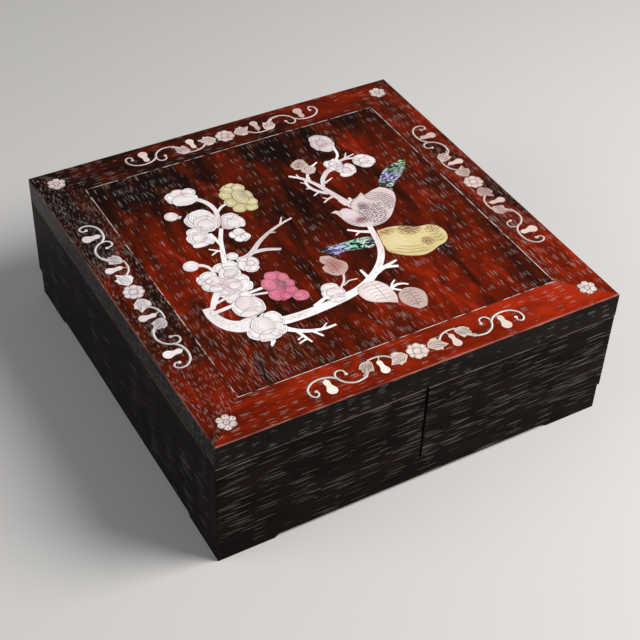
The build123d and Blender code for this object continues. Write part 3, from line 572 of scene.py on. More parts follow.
dots_group, dots_in, dots_out = new_group("engraved_dots", {"Place": None, "Across": 0.0022}, "Dots")
dots_scale = reckon(dots_group, "DIVIDE", 1.0, dots_in["Across"])
dots_place = {0: dots_in["Place"], "Scale": dots_scale}
dots_place = node(dots_group, "ShaderNodeVectorMath", dots_place, operation="SCALE").outputs[0]
dots_cell = {"Vector": dots_place, "Scale": 1.0, "Randomness": dot_uneven}
dots_cell = node(dots_group, "ShaderNodeTexVoronoi", dots_cell, voronoi_dimensions="2D").outputs["Distance"]
dots_group.links.new(stepped(dots_group, dots_cell, *dot_edge, 1.0, 0.0), dots_out["Dots"])


def shell(name, tones, cell=60.0, spots=(), dotted=()):
    """Polished shell in three tones, pale, blushed and cool, crossed by growth lines. Each spot
    (x, y, reach along x, reach along y, share, colour), in millimetres, is a place of another colour,
    and each dotted place is a spot covered in small engraved dots of its colour."""
    pearl, tree, shader = new_material(
        name, IOR=1.50, Specular_IOR_Level=0.45, Coat_Weight=0.15, Coat_Roughness=0.12
    )
    lights = use_group(tree, lights_group, {"Place": own_place(tree), "Cell": cell})
    warm = reckon(tree, "MULTIPLY", lights["Blush"], blush_share)
    cool = reckon(tree, "MULTIPLY", lights["Chill"], chill_share)
    colour = tint(tree, cool, tint(tree, warm, tones[0], tones[1]), tones[2])
    flat = flat_place(tree)
    for *spot, share, spot_colour in spots:
        amount = reckon(tree, "MULTIPLY", spot_at(tree, flat, *spot), share, clamp=True)
        colour = tint(tree, amount, colour, spot_colour)
    for *spot, share, dot_colour in dotted:
        inside = stepped(tree, spot_at(tree, flat, *spot), 0.0, 0.25)
        dots = reckon(tree, "MULTIPLY", inside, use_group(tree, dots_group, {"Place": flat})["Dots"])
        colour = tint(tree, reckon(tree, "MULTIPLY", dots, share, clamp=True), colour, dot_colour)
    colour = tint(tree, 1.0, colour, tint(tree, lights["Growth"], growth_dark, growth_pale), "MULTIPLY")
    tone = node(tree, "ShaderNodeAttribute", attribute_name="tone").outputs["Fac"]
    colour = tint(tree, 1.0, colour, tint(tree, tone, tone_dark, tone_pale), "MULTIPLY")
    tree.links.new(colour, shader.inputs["Base Color"])
    rough = reckon(tree, "MULTIPLY_ADD", lights["Growth"], growth_rough, shell_rough)
    tree.links.new(rough, shader.inputs["Roughness"])
    return pearl


def bend(start, out, end, into, t):
    """The point at a share t of a smooth line from start to end that leaves and arrives as told."""
    return (
        start * (2 * t**3 - 3 * t**2 + 1)
        + out * (t**3 - 2 * t**2 + t)
        + end * (3 * t**2 - 2 * t**3)
        + into * (t**3 - t**2)
    )


def closed_curve(points, corner=50.0, steps=3):
    """A closed line through some points, smooth except where it turns by more than the corner angle."""
    count = len(points)
    ways = [(points[(i + 1) % count] - points[i]) for i in range(count)]
    leaving, arriving = [], []
    for i in range(count):
        before, after = ways[i - 1], ways[i]
        turn = math.degrees(before.angle(after, 0.0))
        through = (before + after) / 2
        share_before = before.length * 2 / max(before.length + after.length, 1e-9)
        share_after = 2 - share_before
        arriving.append(before if turn > corner else through * share_before)
        leaving.append(after if turn > corner else through * share_after)
    line = []
    for i in range(count):
        start, end = points[i], points[(i + 1) % count]
        knots = max(1, min(steps, round((end - start).length / curve_knot)))
        for step in range(knots):
            line.append(bend(start, leaving[i], end, arriving[(i + 1) % count], step / knots))
    return line


def drawn_in(line, amount):
    """A closed line moved to its left, into the shell, by a small amount."""
    moved = []
    for before, here, after in zip(line[-1:] + line[:-1], line, line[1:] + line[:1]):
        first, second = (here - before).normalized(), (after - here).normalized()
        left = Vector((-first.y - second.y, first.x + second.x))
        span = left.length
        if span > 0.4:
            moved.append(here + left * (2 * amount / (span * span)))
        else:
            moved.append(here + left.normalized() * amount if span > 1e-6 else here.copy())
    return moved


def tone_at(place):
    """A shade from 0 to 1 that depends only on where a piece of shell lies."""
    return (math.sin(place.x * 12713.1 + place.y * 31174.7) * 4375.85) % 1.0


def keep_numbers(piece, name, values):
    """A number kept at each point of a piece, for its material to read."""
    piece.data.attributes.new(name, "FLOAT", "POINT").data.foreach_set("value", values)


def shell_plates(name, plates, material, lift=0.0):
    """Thin plates with rounded upper edges. Each plate is a list of closed lines, its outline first."""
    verts, faces, tones = [], [], []
    for plate in plates:
        lines = [[Vector((p.x, p.y)) for p in line] for line in plate]
        inner = [drawn_in(line, shell_round) for line in lines]
        base = len(verts)
        count = sum(len(line) for line in lines)
        tones += [tone_at(sum(lines[0], Vector((0, 0))) / len(lines[0]))] * (3 * count)
        for edge, level in (
            (lines, shell_top - shell_depth),
            (lines, shell_top - shell_drop + lift),
            (inner, shell_top + lift),
        ):
            verts += [(p.x, p.y, level) for line in edge for p in line]
        offset = base
        for line in lines:
            for i in range(len(line)):
                for k in (0, count):
                    a, b = offset + k + i, offset + k + (i + 1) % len(line)
                    faces.append((a, b, b + count, a + count))
            offset += len(line)
        for edge, shift, up in ((inner, 2 * count, True), (lines, 0, False)):
            flat = [[Vector((p.x, p.y, 0)) for p in line] for line in edge]
            points = [p for line in flat for p in line]
            for a, b, c in tessellate_polygon(flat):
                facing_up = (points[b] - points[a]).cross(points[c] - points[a]).z > 0
                order = (a, b, c) if facing_up == up else (a, c, b)
                faces.append(tuple(base + shift + k for k in order))
    piece = new_piece(name, verts, faces, material)
    keep_numbers(piece, "tone", tones)
    piece.data.validate()
    return piece


path_tree = bpy.data.node_groups.new("along_a_path", "GeometryNodeTree")
for name, way, kind in (
    ("Geometry", "INPUT", "Geometry"), ("Taper", "INPUT", "Float"), ("Finish", "INPUT", "Material"),
    ("Geometry", "OUTPUT", "Geometry"),
):
    path_tree.interface.new_socket(name, in_out=way, socket_type="NodeSocket" + kind)
path_in = path_tree.nodes.new("NodeGroupInput").outputs
path_leave = path_tree.nodes.new("NodeGroupOutput").inputs
path_curve = node(path_tree, "GeometryNodeMeshToCurve", {"Mesh": path_in["Geometry"]}).outputs[0]
path_curve = node(path_tree, "GeometryNodeSetCurveNormal", {"Curve": path_curve}, mode="Z_UP").outputs[0]
path_share = node(path_tree, "GeometryNodeSplineParameter").outputs["Factor"]
path_swell = reckon(path_tree, "SINE", reckon(path_tree, "MULTIPLY", path_share, math.pi))
path_swell = reckon(path_tree, "POWER", reckon(path_tree, "MAXIMUM", path_swell, 0.0005), path_in["Taper"])
half_width = node(
    path_tree, "GeometryNodeInputNamedAttribute", {"Name": "half_width"}, data_type="FLOAT"
).outputs["Attribute"]
profile = {
    "Point 1": (-bar_flat, 0, 0), "Point 2": (bar_flat, 0, 0),
    "Point 3": (1, -bar_fall, 0), "Point 4": (-1, -bar_fall, 0),
}
profile = node(path_tree, "GeometryNodeCurvePrimitiveQuadrilateral", profile, mode="POINTS").outputs[0]
path_mesh = node(path_tree, "GeometryNodeCurveToMesh", {
    "Curve": path_curve,
    "Profile Curve": profile,
    "Scale": reckon(path_tree, "MULTIPLY", path_swell, half_width),
    "Fill Caps": True,
}).outputs[0]
path_mesh = node(path_tree, "GeometryNodeRealizeInstances", {"Geometry": path_mesh}).outputs[0]
path_mesh = {"Geometry": path_mesh, "Material": path_in["Finish"]}
path_mesh = node(path_tree, "GeometryNodeSetMaterial", path_mesh).outputs[0]
path_tree.links.new(path_mesh, path_leave["Geometry"])


def along_paths(name, paths, level, taper, material):
    """Flat bars along some paths of (x, y, half width) in millimetres, made by the path tree. A fourth
    number is the level of that point in metres."""
    verts, edges, halves = [], [], []
    for path in paths:
        start = len(verts)
        verts += [(x * MM, y * MM, own[0] if own else level) for x, y, half, *own in path]
        halves += [half * MM for x, y, half, *own in path]
        edges += [(start + i, start + i + 1) for i in range(len(path) - 1)]
    guide = new_piece(name + "_paths", verts, [], material, edges)
    keep_numbers(guide, "half_width", halves)
    modifier = guide.modifiers.new("along_a_path", "NODES")
    modifier.node_group = path_tree
    sockets = {s.name: s.identifier for s in path_tree.interface.items_tree if s.in_out == "INPUT"}
    modifier[sockets["Taper"]] = taper
    modifier[sockets["Finish"]] = material
    bpy.context.view_layer.update()
    made = bpy.data.meshes.new_from_object(guide.evaluated_get(bpy.context.evaluated_depsgraph_get()))
    made.name = name
    bpy.data.objects.remove(guide)
    piece = bpy.data.objects.new(name, made)
    scene.collection.objects.link(piece)
    keep_numbers(piece, "tone", [bar_tone] * len(made.vertices))
    return piece


def through(points, steps=8):
    """An open smooth line through some points, each (x, y) or (x, y, half width)."""
    line = []
    knots = [Vector((*p, 0.0)[:3]) for p in points]
    for i in range(len(knots) - 1):
        before = knots[i - 1] if i else knots[i] * 2 - knots[i + 1]
        after = knots[i + 2] if i + 2 < len(knots) else knots[i + 1] * 2 - knots[i]
        out, into = (knots[i + 1] - before) / 2, (after - knots[i]) / 2
        line += [bend(knots[i], out, knots[i + 1], into, step / steps) for step in range(steps)]
    line.append(knots[-1])
    return line


def turned(x, y, along, across, turn):
    """The point that lies along and across from (x, y), on axes turned by an angle."""
    tilt = math.radians(turn)
    return Vector((
        x + along * math.cos(tilt) - across * math.sin(tilt),
        y + along * math.sin(tilt) + across * math.cos(tilt),
    ))


def ring(x, y, radius_x, radius_y=None, turn=0.0, count=24, share=1.0, start=0.0):
    """Points of an ellipse or of a part of it."""
    radius_y = radius_x if radius_y is None else radius_y
    line = []
    for step in range(count + (share < 1.0)):
        angle = math.radians(start) + 2 * math.pi * share * step / count
        line.append(turned(x, y, radius_x * math.cos(angle), radius_y * math.sin(angle), turn))
    return line


def fan(first, second, count, steps=10):
    """Strokes that pass evenly from one guide line to another."""
    first_line, second_line = through(first, steps), through(second, steps)
    strokes = []
    for number in range(count):
        share = number / max(count - 1, 1)
        strokes.append([a * (1 - share) + b * share for a, b in zip(first_line, second_line)])
    return strokes


def petal_of(x, y, length, width, turn=0):
    """A petal's place, size and turn."""
    return x, y, length, width, turn


def petal_point(petal, share, angle):
    """The point of a petal at one angle and one share of the way from its middle to its rim."""
    x, y, length, width, turn = petal_of(*petal)
    way = math.radians(angle)
    rim = share * (1 + petal_wave * math.sin(5 * way + x))
    return turned(x, y, length / 2 * rim * math.cos(way), width / 2 * rim * math.sin(way), turn)


def petal_plates(name, flowers, material, count=26):
    """Blossoms of thin rounded petals, shaded towards the heart. Each is its heart (x, y) and its petals
    from the lowest to the uppermost, as (x, y, length along x, length along y) and a turn."""
    verts, faces, tones = [], [], []
    for heart, petals in flowers:
        for layer, petal in enumerate(petals):
            top = first_layer + layer_step * layer
            middle = Vector(petal[:2])
            away = (middle - Vector(heart)).normalized()
            shift = petal_chance * tone_at(middle) - petal_chance / 2
            rings = ((1.0, shell_top - shell_depth), (1.0, top - shell_drop))
            rings += tuple((share, top) for share in petal_rings)
            base = len(verts)
            for share, level in rings:
                for step in range(count):
                    p = petal_point(petal, share, 360 * step / count)
                    verts.append((p.x * MM, p.y * MM, level))
                    reach = (p - middle).dot(away) * 2 / max(petal[2], petal[3])
                    tones.append(min(max(petal_shade + petal_fade * reach + shift, 0.0), 1.0))
            last = base + (len(rings) - 1) * count
            for start in range(base, last, count):
                for i in range(count):
                    a, b = start + i, start + (i + 1) % count
                    faces.append((a, b, b + count, a + count))
            faces.append(tuple(range(last, last + count)))
            faces.append(tuple(range(base + count - 1, base - 1, -1)))
    piece = new_piece(name, verts, faces, material)
    keep_numbers(piece, "tone", tones)
    return piece


def petal_strokes(flowers, veins=5):
    """The engraving of some blossoms: each petal's rim, arcs inside it and short veins."""
    strokes = []
    for heart, petals in flowers:
        for layer, petal in enumerate(petals):
            level = first_layer + layer_step * layer + stroke_lift
            x, y, length, width, turn = petal_of(*petal)
            away = Vector((x - heart[0], y - heart[1]))
            away.rotate(Matrix.Rotation(-math.radians(turn), 2))
            facing = math.degrees(math.atan2(away.y / width, away.x / length))
            runs = [[(1.0, angle) for angle in range(0, 375, 15)]]
            arcs = 1 + sum(min(length, width) > size for size in petal_arc_sizes)
            for share in petal_arcs[:arcs]:
                runs.append([(share, facing + angle) for angle in range(-90, 105, 15)])
            for number in range(veins):
                way = facing + (number - (veins - 1) / 2) * vein_turn
                runs.append([(share, way + lean) for share, lean in vein_run])
            for number, run in enumerate(runs):
                points = [petal_point(petal, share, angle) for share, angle in run]
                strokes.append([(p.x, p.y, vein_half if number else rim_half, level) for p in points])
    return strokes


def round_flower(x, y, count, seat, petal_size, heart_size, start=0.0):
    """A small flower of round petals about a round heart."""
    petals = []
    for number in range(count):
        way = math.radians(start + 360 * number / count)
        size = petal_size * (1 + flower_uneven * math.sin(3.0 * number + x))
        petals.append((x + seat * math.cos(way), y + seat * math.sin(way), size, size))
    return ((x, y), petals[::2] + petals[1::2] + [(x, y + 0.01, heart_size, heart_size)])


# One spray, from the flower outwards: the first number runs along the rail from its middle and the
# second across it, outwards from the rail's centre line.
spray_leaves = [
    [(8.2, 0.2), (9.4, -1.6), (10.6, -3.8), (12.2, -4.6), (14.2, -6.2), (16.6, -6.2), (19.0, -5.6),
     (18.6, -4.0), (20.4, -2.8), (20.2, -1.0), (21.4, 0.8), (23.6, 4.0), (20.6, 4.4), (18.6, 4.6),
     (17.0, 7.2), (15.4, 6.2), (12.8, 5.8), (11.6, 4.2), (9.8, 2.4)],
    [(35.6, -7.6), (38.0, -7.6), (40.4, -7.6), (43.0, -6.4), (45.8, -2.9), (44.2, -2.0), (45.0, 0.4),
     (44.0, 2.2), (46.8, 4.2), (45.0, 5.4), (42.0, 4.0), (40.4, 2.6), (39.0, 2.4), (37.2, 3.6),
     (35.8, 0.8), (34.6, -2.8), (34.4, -5.4)],
]
spray_stems = [
    [(19.4, -2.6), (24, -6.5), (29.8, -8.1), (36.4, -7.8)],
    [(43.4, 4.8), (48, 6.4), (54, 6.8), (60, 3.8), (63.5, -2), (62.6, -6.8), (59.4, -8.4), (56.4, -7.0),
     (55.6, -3.2)],
    [(62.8, -1.6), (68, -5.6), (75, -7.0), (82, -5.6), (86.8, -1), (87.2, 4.4), (84.4, 7.2), (81.6, 5.6),
     (82.0, 2.6)],
]
spray_hooks = [[(27.0, -7.6), (28.2, -6.0), (29.0, -3.6)], [(69.2, -6.2), (70.8, -5.4), (71.6, -3.4)]]
spray_gourds = [(29.6, -2.3, 2.2, -0.3, 1.8, 5.8, 3.5), (71.6, -2.2, 2.5, 0.0, 2.1, 6.0, 4.0)]
spray_veins = [
    through([(9.4, 0.0), (15.0, 0.8), (22.0, 3.4)], 10),
    *fan([(10.8, -0.8), (11.2, -2.2), (12.0, -3.6)], [(19.0, 1.0), (19.2, -1.0), (19.4, -3.0)], 6),
    *fan([(10.8, 1.2), (12.4, 2.8), (13.6, 4.6)], [(18.6, 2.8), (20.0, 3.6), (21.2, 4.0)], 5),
    through([(37.2, -6.8), (40.4, -2.8), (45.2, 4.4)], 10),
    *fan([(35.8, -5.8), (35.8, -3.0), (36.8, 0.4)], [(38.8, -3.8), (39.6, -0.8), (41.2, 2.4)], 4),
    *fan([(39.4, -6.0), (42.0, -5.0), (44.2, -3.4)], [(42.6, 0.4), (43.4, 0.8), (44.2, 1.4)], 5),
]
flower_petals, flower_start = 8, 22.5
flower_petal_seat, flower_petal, flower_heart = 5.2, 6.0, 6.6
leaf_vein_half = 0.21


def smooth_gourd(x, neck_y, neck, waist_y, waist, bulb_y, bulb):
    """A gourd drop: a small neck lobe over a waist and a larger bulb."""
    half = [
        (0.0, neck_y - neck), (neck * 0.8, neck_y - neck * 0.5), (neck, neck_y + 0.4), (waist, waist_y + 1.2),
        (bulb * 0.72, bulb_y - bulb * 0.72), (bulb, bulb_y), (bulb * 0.7, bulb_y + bulb * 0.72),
        (0.0, bulb_y + bulb),
    ]
    left = [(-a, b) for a, b in reversed(half[1:-1])]
    return [Vector((x + a, b)) for a, b in half + left]


def on_rail(side, points):
    """Points of a spray laid on one rail, as points of the case in millimetres."""
    placed = []
    for along, out, *half in points:
        reach = scroll_line / MM + out
        if side in ("front", "back"):
            placed.append((along, -reach if side == "front" else reach, *half))
        else:
            placed.append((-reach if side == "left" else reach, along, *half))
    return placed


def area_of(line):
    """Twice the area inside a closed line, above 0 where it runs anticlockwise."""
    return sum(a.x * b.y - b.x * a.y for a, b in zip(line, line[1:] + line[:1]))


def case_line(points, corner=50.0, steps=4):
    """A closed smooth line in metres, run anticlockwise, from points in millimetres."""
    line = [Vector((p[0] * MM, p[1] * MM)) for p in points]
    return closed_curve(line if area_of(line) > 0 else line[::-1], corner, steps)


scroll_engraving = new_material("scroll_ink", scroll_ink, Roughness=ink_rough)[0]
scroll_strokes = []
for side in ("front", "back", "left", "right"):
    pearl = shell(side + "_scroll_pearl", rail_pearls[side], scroll_cell)
    leaf_pearl = shell(side + "_scroll_leaf_pearl", rail_leaf_pearls[side], scroll_cell)
    middle = on_rail(side, [(0, 0)])[0]
    flower = (flower_petals, flower_petal_seat, flower_petal, flower_heart, flower_start)
    flower = round_flower(*middle, *flower)
    gourds, leaves, bars = [], [], []
    for hand in (1, -1):
        for leaf in spray_leaves:
            leaves.append([case_line(on_rail(side, [(a * hand, b) for a, b in leaf]), leaf_corner)])
        for gourd in spray_gourds:
            outline = [(p.x * hand, p.y) for p in smooth_gourd(*gourd)]
            gourds.append([case_line(on_rail(side, outline), round_corner)])
        for stem in spray_stems + spray_hooks:
            line = through([(a * hand, b) for a, b in stem])
            thick = hook_half if stem in spray_hooks else stem_half
            halves = [thick * (1 - stem_thinning * i / len(line)) for i in range(len(line))]
            bars.append(on_rail(side, [(p.x, p.y, half) for p, half in zip(line, halves)]))
        for stem in spray_stems[1:]:
            end = Vector((stem[-1][0] * hand, stem[-1][1]))
            gourds.append([case_line(on_rail(side, ring(end.x, end.y, stem_end, count=12)), round_corner)])
        for vein in spray_veins:
            scroll_strokes.append(on_rail(side, [(p.x * hand, p.y, leaf_vein_half) for p in vein]))
    scroll_strokes += petal_strokes([flower], 3)
    for piece in (
        shell_plates(side + "_scroll_gourds", gourds, pearl),
        shell_plates(side + "_scroll_leaves", leaves, leaf_pearl),
        petal_plates(side + "_scroll_flower", [flower], pearl),
        along_paths(side + "_scroll_stems", bars, shell_top - stem_drop, 0.0, pearl),
    ):
        fitted(piece, side + "_scroll")
scroll_cuts = along_paths("scroll_engraving", scroll_strokes, engraved_top, stroke_taper, scroll_engraving)
fitted(scroll_cuts)

# The corner flowers.
# Six-petalled blossoms of rosier shell at the four mitres of the top frame, each petal with a
# drilled dot and the heart engraved as a ring.

corner_place = 0.148
corner_petal_seat, corner_petal, corner_heart = 4.5, 5.9, 4.6
corner_turn, corner_cell, ground_corner = 15, 110.0, 60.0
corner_tones = ((0.82, 0.73, 0.69), (0.72, 0.56, 0.51), (0.70, 0.68, 0.67))
corner_pearl = shell("corner_pearl", corner_tones, corner_cell)
corner_ground = new_material("corner_ground", (0.20, 0.13, 0.11), Roughness=0.4)[0]
ground_width, ground_notch = 12.6, 0.2
heart_dot, petal_dot, dot_seat = 0.6, 0.45, 1.25


def lobed(x, y, width, turn, lobes, notch, steps=10):
    """A flower's outline: a circle drawn in between its petals."""
    line = []
    for step in range(lobes * steps):
        angle = 2 * math.pi * step / (lobes * steps)
        rim = 1 - notch * (1 - math.sqrt(abs(math.sin(lobes * angle / 2))))
        line.append(turned(x, y, width / 2 * rim * math.cos(angle), width / 2 * rim * math.sin(angle), turn))
    return line


corner_flowers, corner_strokes, corner_grounds = [], [], []
for corner_x, corner_y in ((1, 1), (-1, 1), (-1, -1), (1, -1)):
    x, y = corner_x * corner_place / MM, corner_y * corner_place / MM
    flower = round_flower(x, y, 6, corner_petal_seat, corner_petal, corner_heart, corner_turn)
    corner_flowers.append(flower)
    ground = lobed(x, y, ground_width, corner_turn, 6, ground_notch)
    corner_grounds.append([case_line(ground, ground_corner, 1)])
    corner_strokes += petal_strokes([flower], 0)
    dots = [ring(x, y, heart_dot, count=10)]
    for px, py, *size in flower[1][:-1]:
        dots.append(ring(x + (px - x) * dot_seat, y + (py - y) * dot_seat, petal_dot, count=10))
    for dot in dots:
        corner_strokes.append([(p.x, p.y, stroke_width / 2) for p in dot + dot[:1]])
fitted(petal_plates("corner_flower_plates", corner_flowers, corner_pearl), "corner_flowers")
corner_base = shell_plates("corner_flower_grounds", corner_grounds, corner_ground, -ground_drop)
fitted(corner_base, "corner_flowers")
fitted(along_paths("corner_engraving", corner_strokes, engraved_top, 0.0, scroll_engraving))

# The blossoming branch.
# Branch, blossoms, leaves and two coloured flowers are separate pieces of white, rose, yellow and
# pink shell let into the panel, with their petals, veins and bark engraved and filled dark.

# A blossom is its heart (x, y) and its petals from the lowest to the uppermost, as (x, y, length
# along x, length along y) and a turn where it has one.
blossoms = [
    ((-68, 87), [(-75, 90.6, 12, 12), (-69.4, 94, 12, 9), (-61, 90.6, 11, 12), (-67.4, 83.4, 21, 15)]),
    ((-81, 68), [(-86.2, 68.6, 10.8, 10.8)]),
    ((-66, 50), [(-74.4, 55.4, 12.6, 16), (-66.2, 57.2, 19.6, 20), (-59.6, 49, 9, 19, -8),
     (-66.6, 48.4, 18, 21), (-67.2, 46.6, 13, 15)]),
    ((-76, 33), [(-79, 43, 13, 10.4), (-73, 31.4, 9, 15), (-79.4, 28, 16.4, 8.6, 6), (-80.4, 35.6, 16.4, 14),
     (-79.4, 35, 9, 9)]),
    ((-47, 40), [(-47, 47.6, 13.4, 11), (-42.6, 40, 9, 15.4), (-51, 41, 9.4, 15), (-47, 39.4, 10.6, 13)]),
    ((-50, 24), [(-53.4, 26.4, 8.4, 9), (-48.6, 28.2, 9, 9), (-46.4, 21.2, 8, 8.4), (-51, 20.2, 9.6, 8)]),
    ((-66.4, 1), [(-66.5, 4, 9.2, 9.2)]),
    ((-93, 7), [(-98.6, 7.5, 12, 12)]),
    ((-60.4, -9.4), [(-61, -4.6, 11, 9.6), (-55.4, -8.4, 8, 12), (-59.8, -15, 11.4, 9.4),
     (-64, -10, 9, 12.4), (-58, -9.4, 7, 6.4)]),
    ((-77, -8), [(-80.4, -4.4, 12, 11), (-73, -6, 12, 15), (-77, -12.4, 17, 16), (-76.4, -13.6, 11, 10)]),
    ((-93, -15), [(-88, -24, 9, 12), (-93, -9.2, 13.4, 11.4), (-99, -13, 8.4, 7.4), (-97.4, -19, 10.4, 13.4),
     (-90.6, -16.4, 11, 13), (-92.4, -24, 12.6, 9.4), (-95, -14.4, 6, 5, 20)]),
    ((-80, -26), [(-73.4, -23, 13, 14), (-86, -22, 11, 12.4), (-88, -30, 12.4, 10), (-74.4, -30, 14.4, 13),
     (-81.4, -26, 15, 15), (-80.6, -27, 9.4, 9)]),
    ((-83, -47), [(-86, -39.4, 15.4, 12.4), (-78, -41, 9, 11), (-88.4, -52, 11.4, 19),
     (-75.4, -53, 10.4, 18.4), (-82, -59, 19, 9), (-82, -48.6, 15, 17)]),
    ((-81, -75), [(-91, -69.4, 14, 14), (-72.4, -71, 13.4, 15), (-90, -80, 14, 16), (-75, -82.6, 14.6, 14.4),
     (-82, -86.4, 18, 11.4), (-82.6, -75, 17, 19)]),
    ((-20.4, -66), [(-20.5, -60.4, 13, 9.6), (-25.4, -67, 8, 12), (-16.4, -68, 9.4, 12.4),
     (-20, -74, 13.4, 9.4), (-20.6, -67.4, 10, 11)]),
    ((66, 101), [(65, 110, 12.6, 10.6), (71.6, 104, 9, 15), (61, 102.4, 9.4, 13), (67, 95, 13.6, 12),
     (66, 102.6, 9, 10)]),
    ((60, 72), [(56.4, 73.4, 8.4, 11), (63, 73.4, 9, 11.4), (59.6, 67.4, 12, 8.4), (59.8, 72, 8, 7.6)]),
    ((65.4, 60), [(69.4, 62, 9, 13.4), (62, 63, 9.4, 9.4), (63.4, 56, 12.4, 8.4), (65.4, 60, 7.6, 7.6)]),
    ((85, 65), [(84, 71, 12, 8), (79.8, 66, 9, 12.4), (89.4, 64.4, 9, 12.4), (84.4, 60, 12.4, 8.6),
     (84.6, 65.6, 8.4, 8)]),
]
yellow_blossom = ((-26, 67), [
    (-31, 80.4, 12, 12), (-37, 74, 10, 12), (-37.6, 64, 9.6, 12), (-34, 54.4, 12, 11),
    (-25.4, 51.4, 10.6, 9), (-22, 58, 9, 11), (-21.4, 67.4, 8.4, 12), (-23.6, 78, 10, 12), (-28, 84.4, 8, 5),
    (-27.4, 67, 11.4, 18),
])
pink_blossom = ((-49.6, -41.6), [
    (-52, -29.6, 10.4, 10), (-44.6, -35, 8.4, 11.6), (-43.4, -42.6, 7.4, 9.6), (-46, -50, 9.4, 9.6),
    (-52.4, -54, 9, 8), (-58.6, -50, 10.6, 13.4), (-58, -38, 11, 14.6),
])
pink_bud = ((-45, -54), [
    (-42.8, -58.4, 12.6, 12), (-43.4, -57, 8, 7),
])
beige_blossoms = [
    ((36, 80), [(31.4, 84, 8, 9.4), (37, 87.4, 8.4, 7.4), (37.6, 81.4, 8, 8), (34.6, 83.4, 7.4, 7)]),
    ((38.4, 75), [(35.4, 75, 7, 8), (41.4, 75.4, 6.8, 8), (38.4, 71.4, 8, 6), (38.4, 76, 6, 5.6)]),
]


def node_plates(name):
    """The outlines of a CAD node's upper faces, one list of closed lines for each piece of shell."""
    copy = bmesh.new()
    copy.from_mesh(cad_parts[name].data)
    bmesh.ops.remove_doubles(copy, verts=copy.verts, dist=1e-6)
    copy.faces.index_update()
    top = max(vertex.co.z for vertex in copy.verts)
    upper = [f for f in copy.faces if f.normal.z > 0.9 and f.calc_center_median().z > top - 1e-5]
    waiting = {face.index: face for face in upper}
    plates = []
    for face in upper:
        if face.index not in waiting:
            continue
        island, todo = {}, [waiting.pop(face.index)]
        while todo:
            here = todo.pop()
            island[here.index] = here
            for edge in here.edges:
                todo += [waiting.pop(other.index) for other in edge.link_faces if other.index in waiting]
        following = {}
        for here in island.values():
            for corner_loop in here.loops:
                others = [f.index for f in corner_loop.edge.link_faces if f is not here]
                if not any(index in island for index in others):
                    following.setdefault(corner_loop.vert, []).append(corner_loop.link_loop_next.vert)
        lines = []
        while following:
            line, here = [], next(iter(following))
            while here in following:
                line.append(Vector((here.co.x, here.co.y)))
                after = following[here].pop()
                if not following[here]:
                    del following[here]
                here = after
            lines.append(line)
        lines.sort(key=lambda line: -abs(area_of(line)))
        plates.append([closed_curve(line) for line in lines])
    copy.free()
    return plates


def stamens(x, y, reach_x, reach_y, count):
    """A ring of stamens, each a fine stroke with a small head."""
    strokes = []
    for number in range(count):
        angle = 2 * math.pi * number / count
        for share_in, share_out, half in ((0.30, 0.80, 0.12), (0.86, 1.0, 0.34)):
            strokes.append([
                (x + reach_x * share * math.cos(angle), y + reach_y * share * math.sin(angle), half)
                for share in (share_in, (share_in + share_out) / 2, share_out)
            ])
    return strokes


def weighted(strokes, half):
    """Strokes of points as (x, y, half width)."""
    return [[(p.x, p.y, half) for p in stroke] for stroke in strokes]


def bark(points, first_width, last_width, spacing, seed):
    """Short broken strokes along a branch and a few across it."""
    chance = random.Random(seed)
    line = through(points, 12)
    strokes = []
    travelled = 0.0
    for i in range(1, len(line)):
        travelled += (line[i] - line[i - 1]).length
        if travelled < spacing:
            continue
        travelled = 0.0
        run = (line[i] - line[i - 1]).normalized()
        side = Vector((-run.y, run.x, 0))
        width = first_width + (last_width - first_width) * i / len(line)
        place = line[i] + side * width * chance.uniform(-0.32, 0.32)
        length = chance.uniform(1.5, 4.5)
        sway = side * chance.uniform(-0.25, 0.25)
        if chance.random() < 0.3:
            run, sway, length = side, run * chance.uniform(-0.3, 0.3), width * 0.5
        strokes.append([
            (q.x, q.y, chance.uniform(0.09, 0.17))
            for q in (place - run * length / 2, place + sway, place + run * length / 2)
        ])
    return strokes


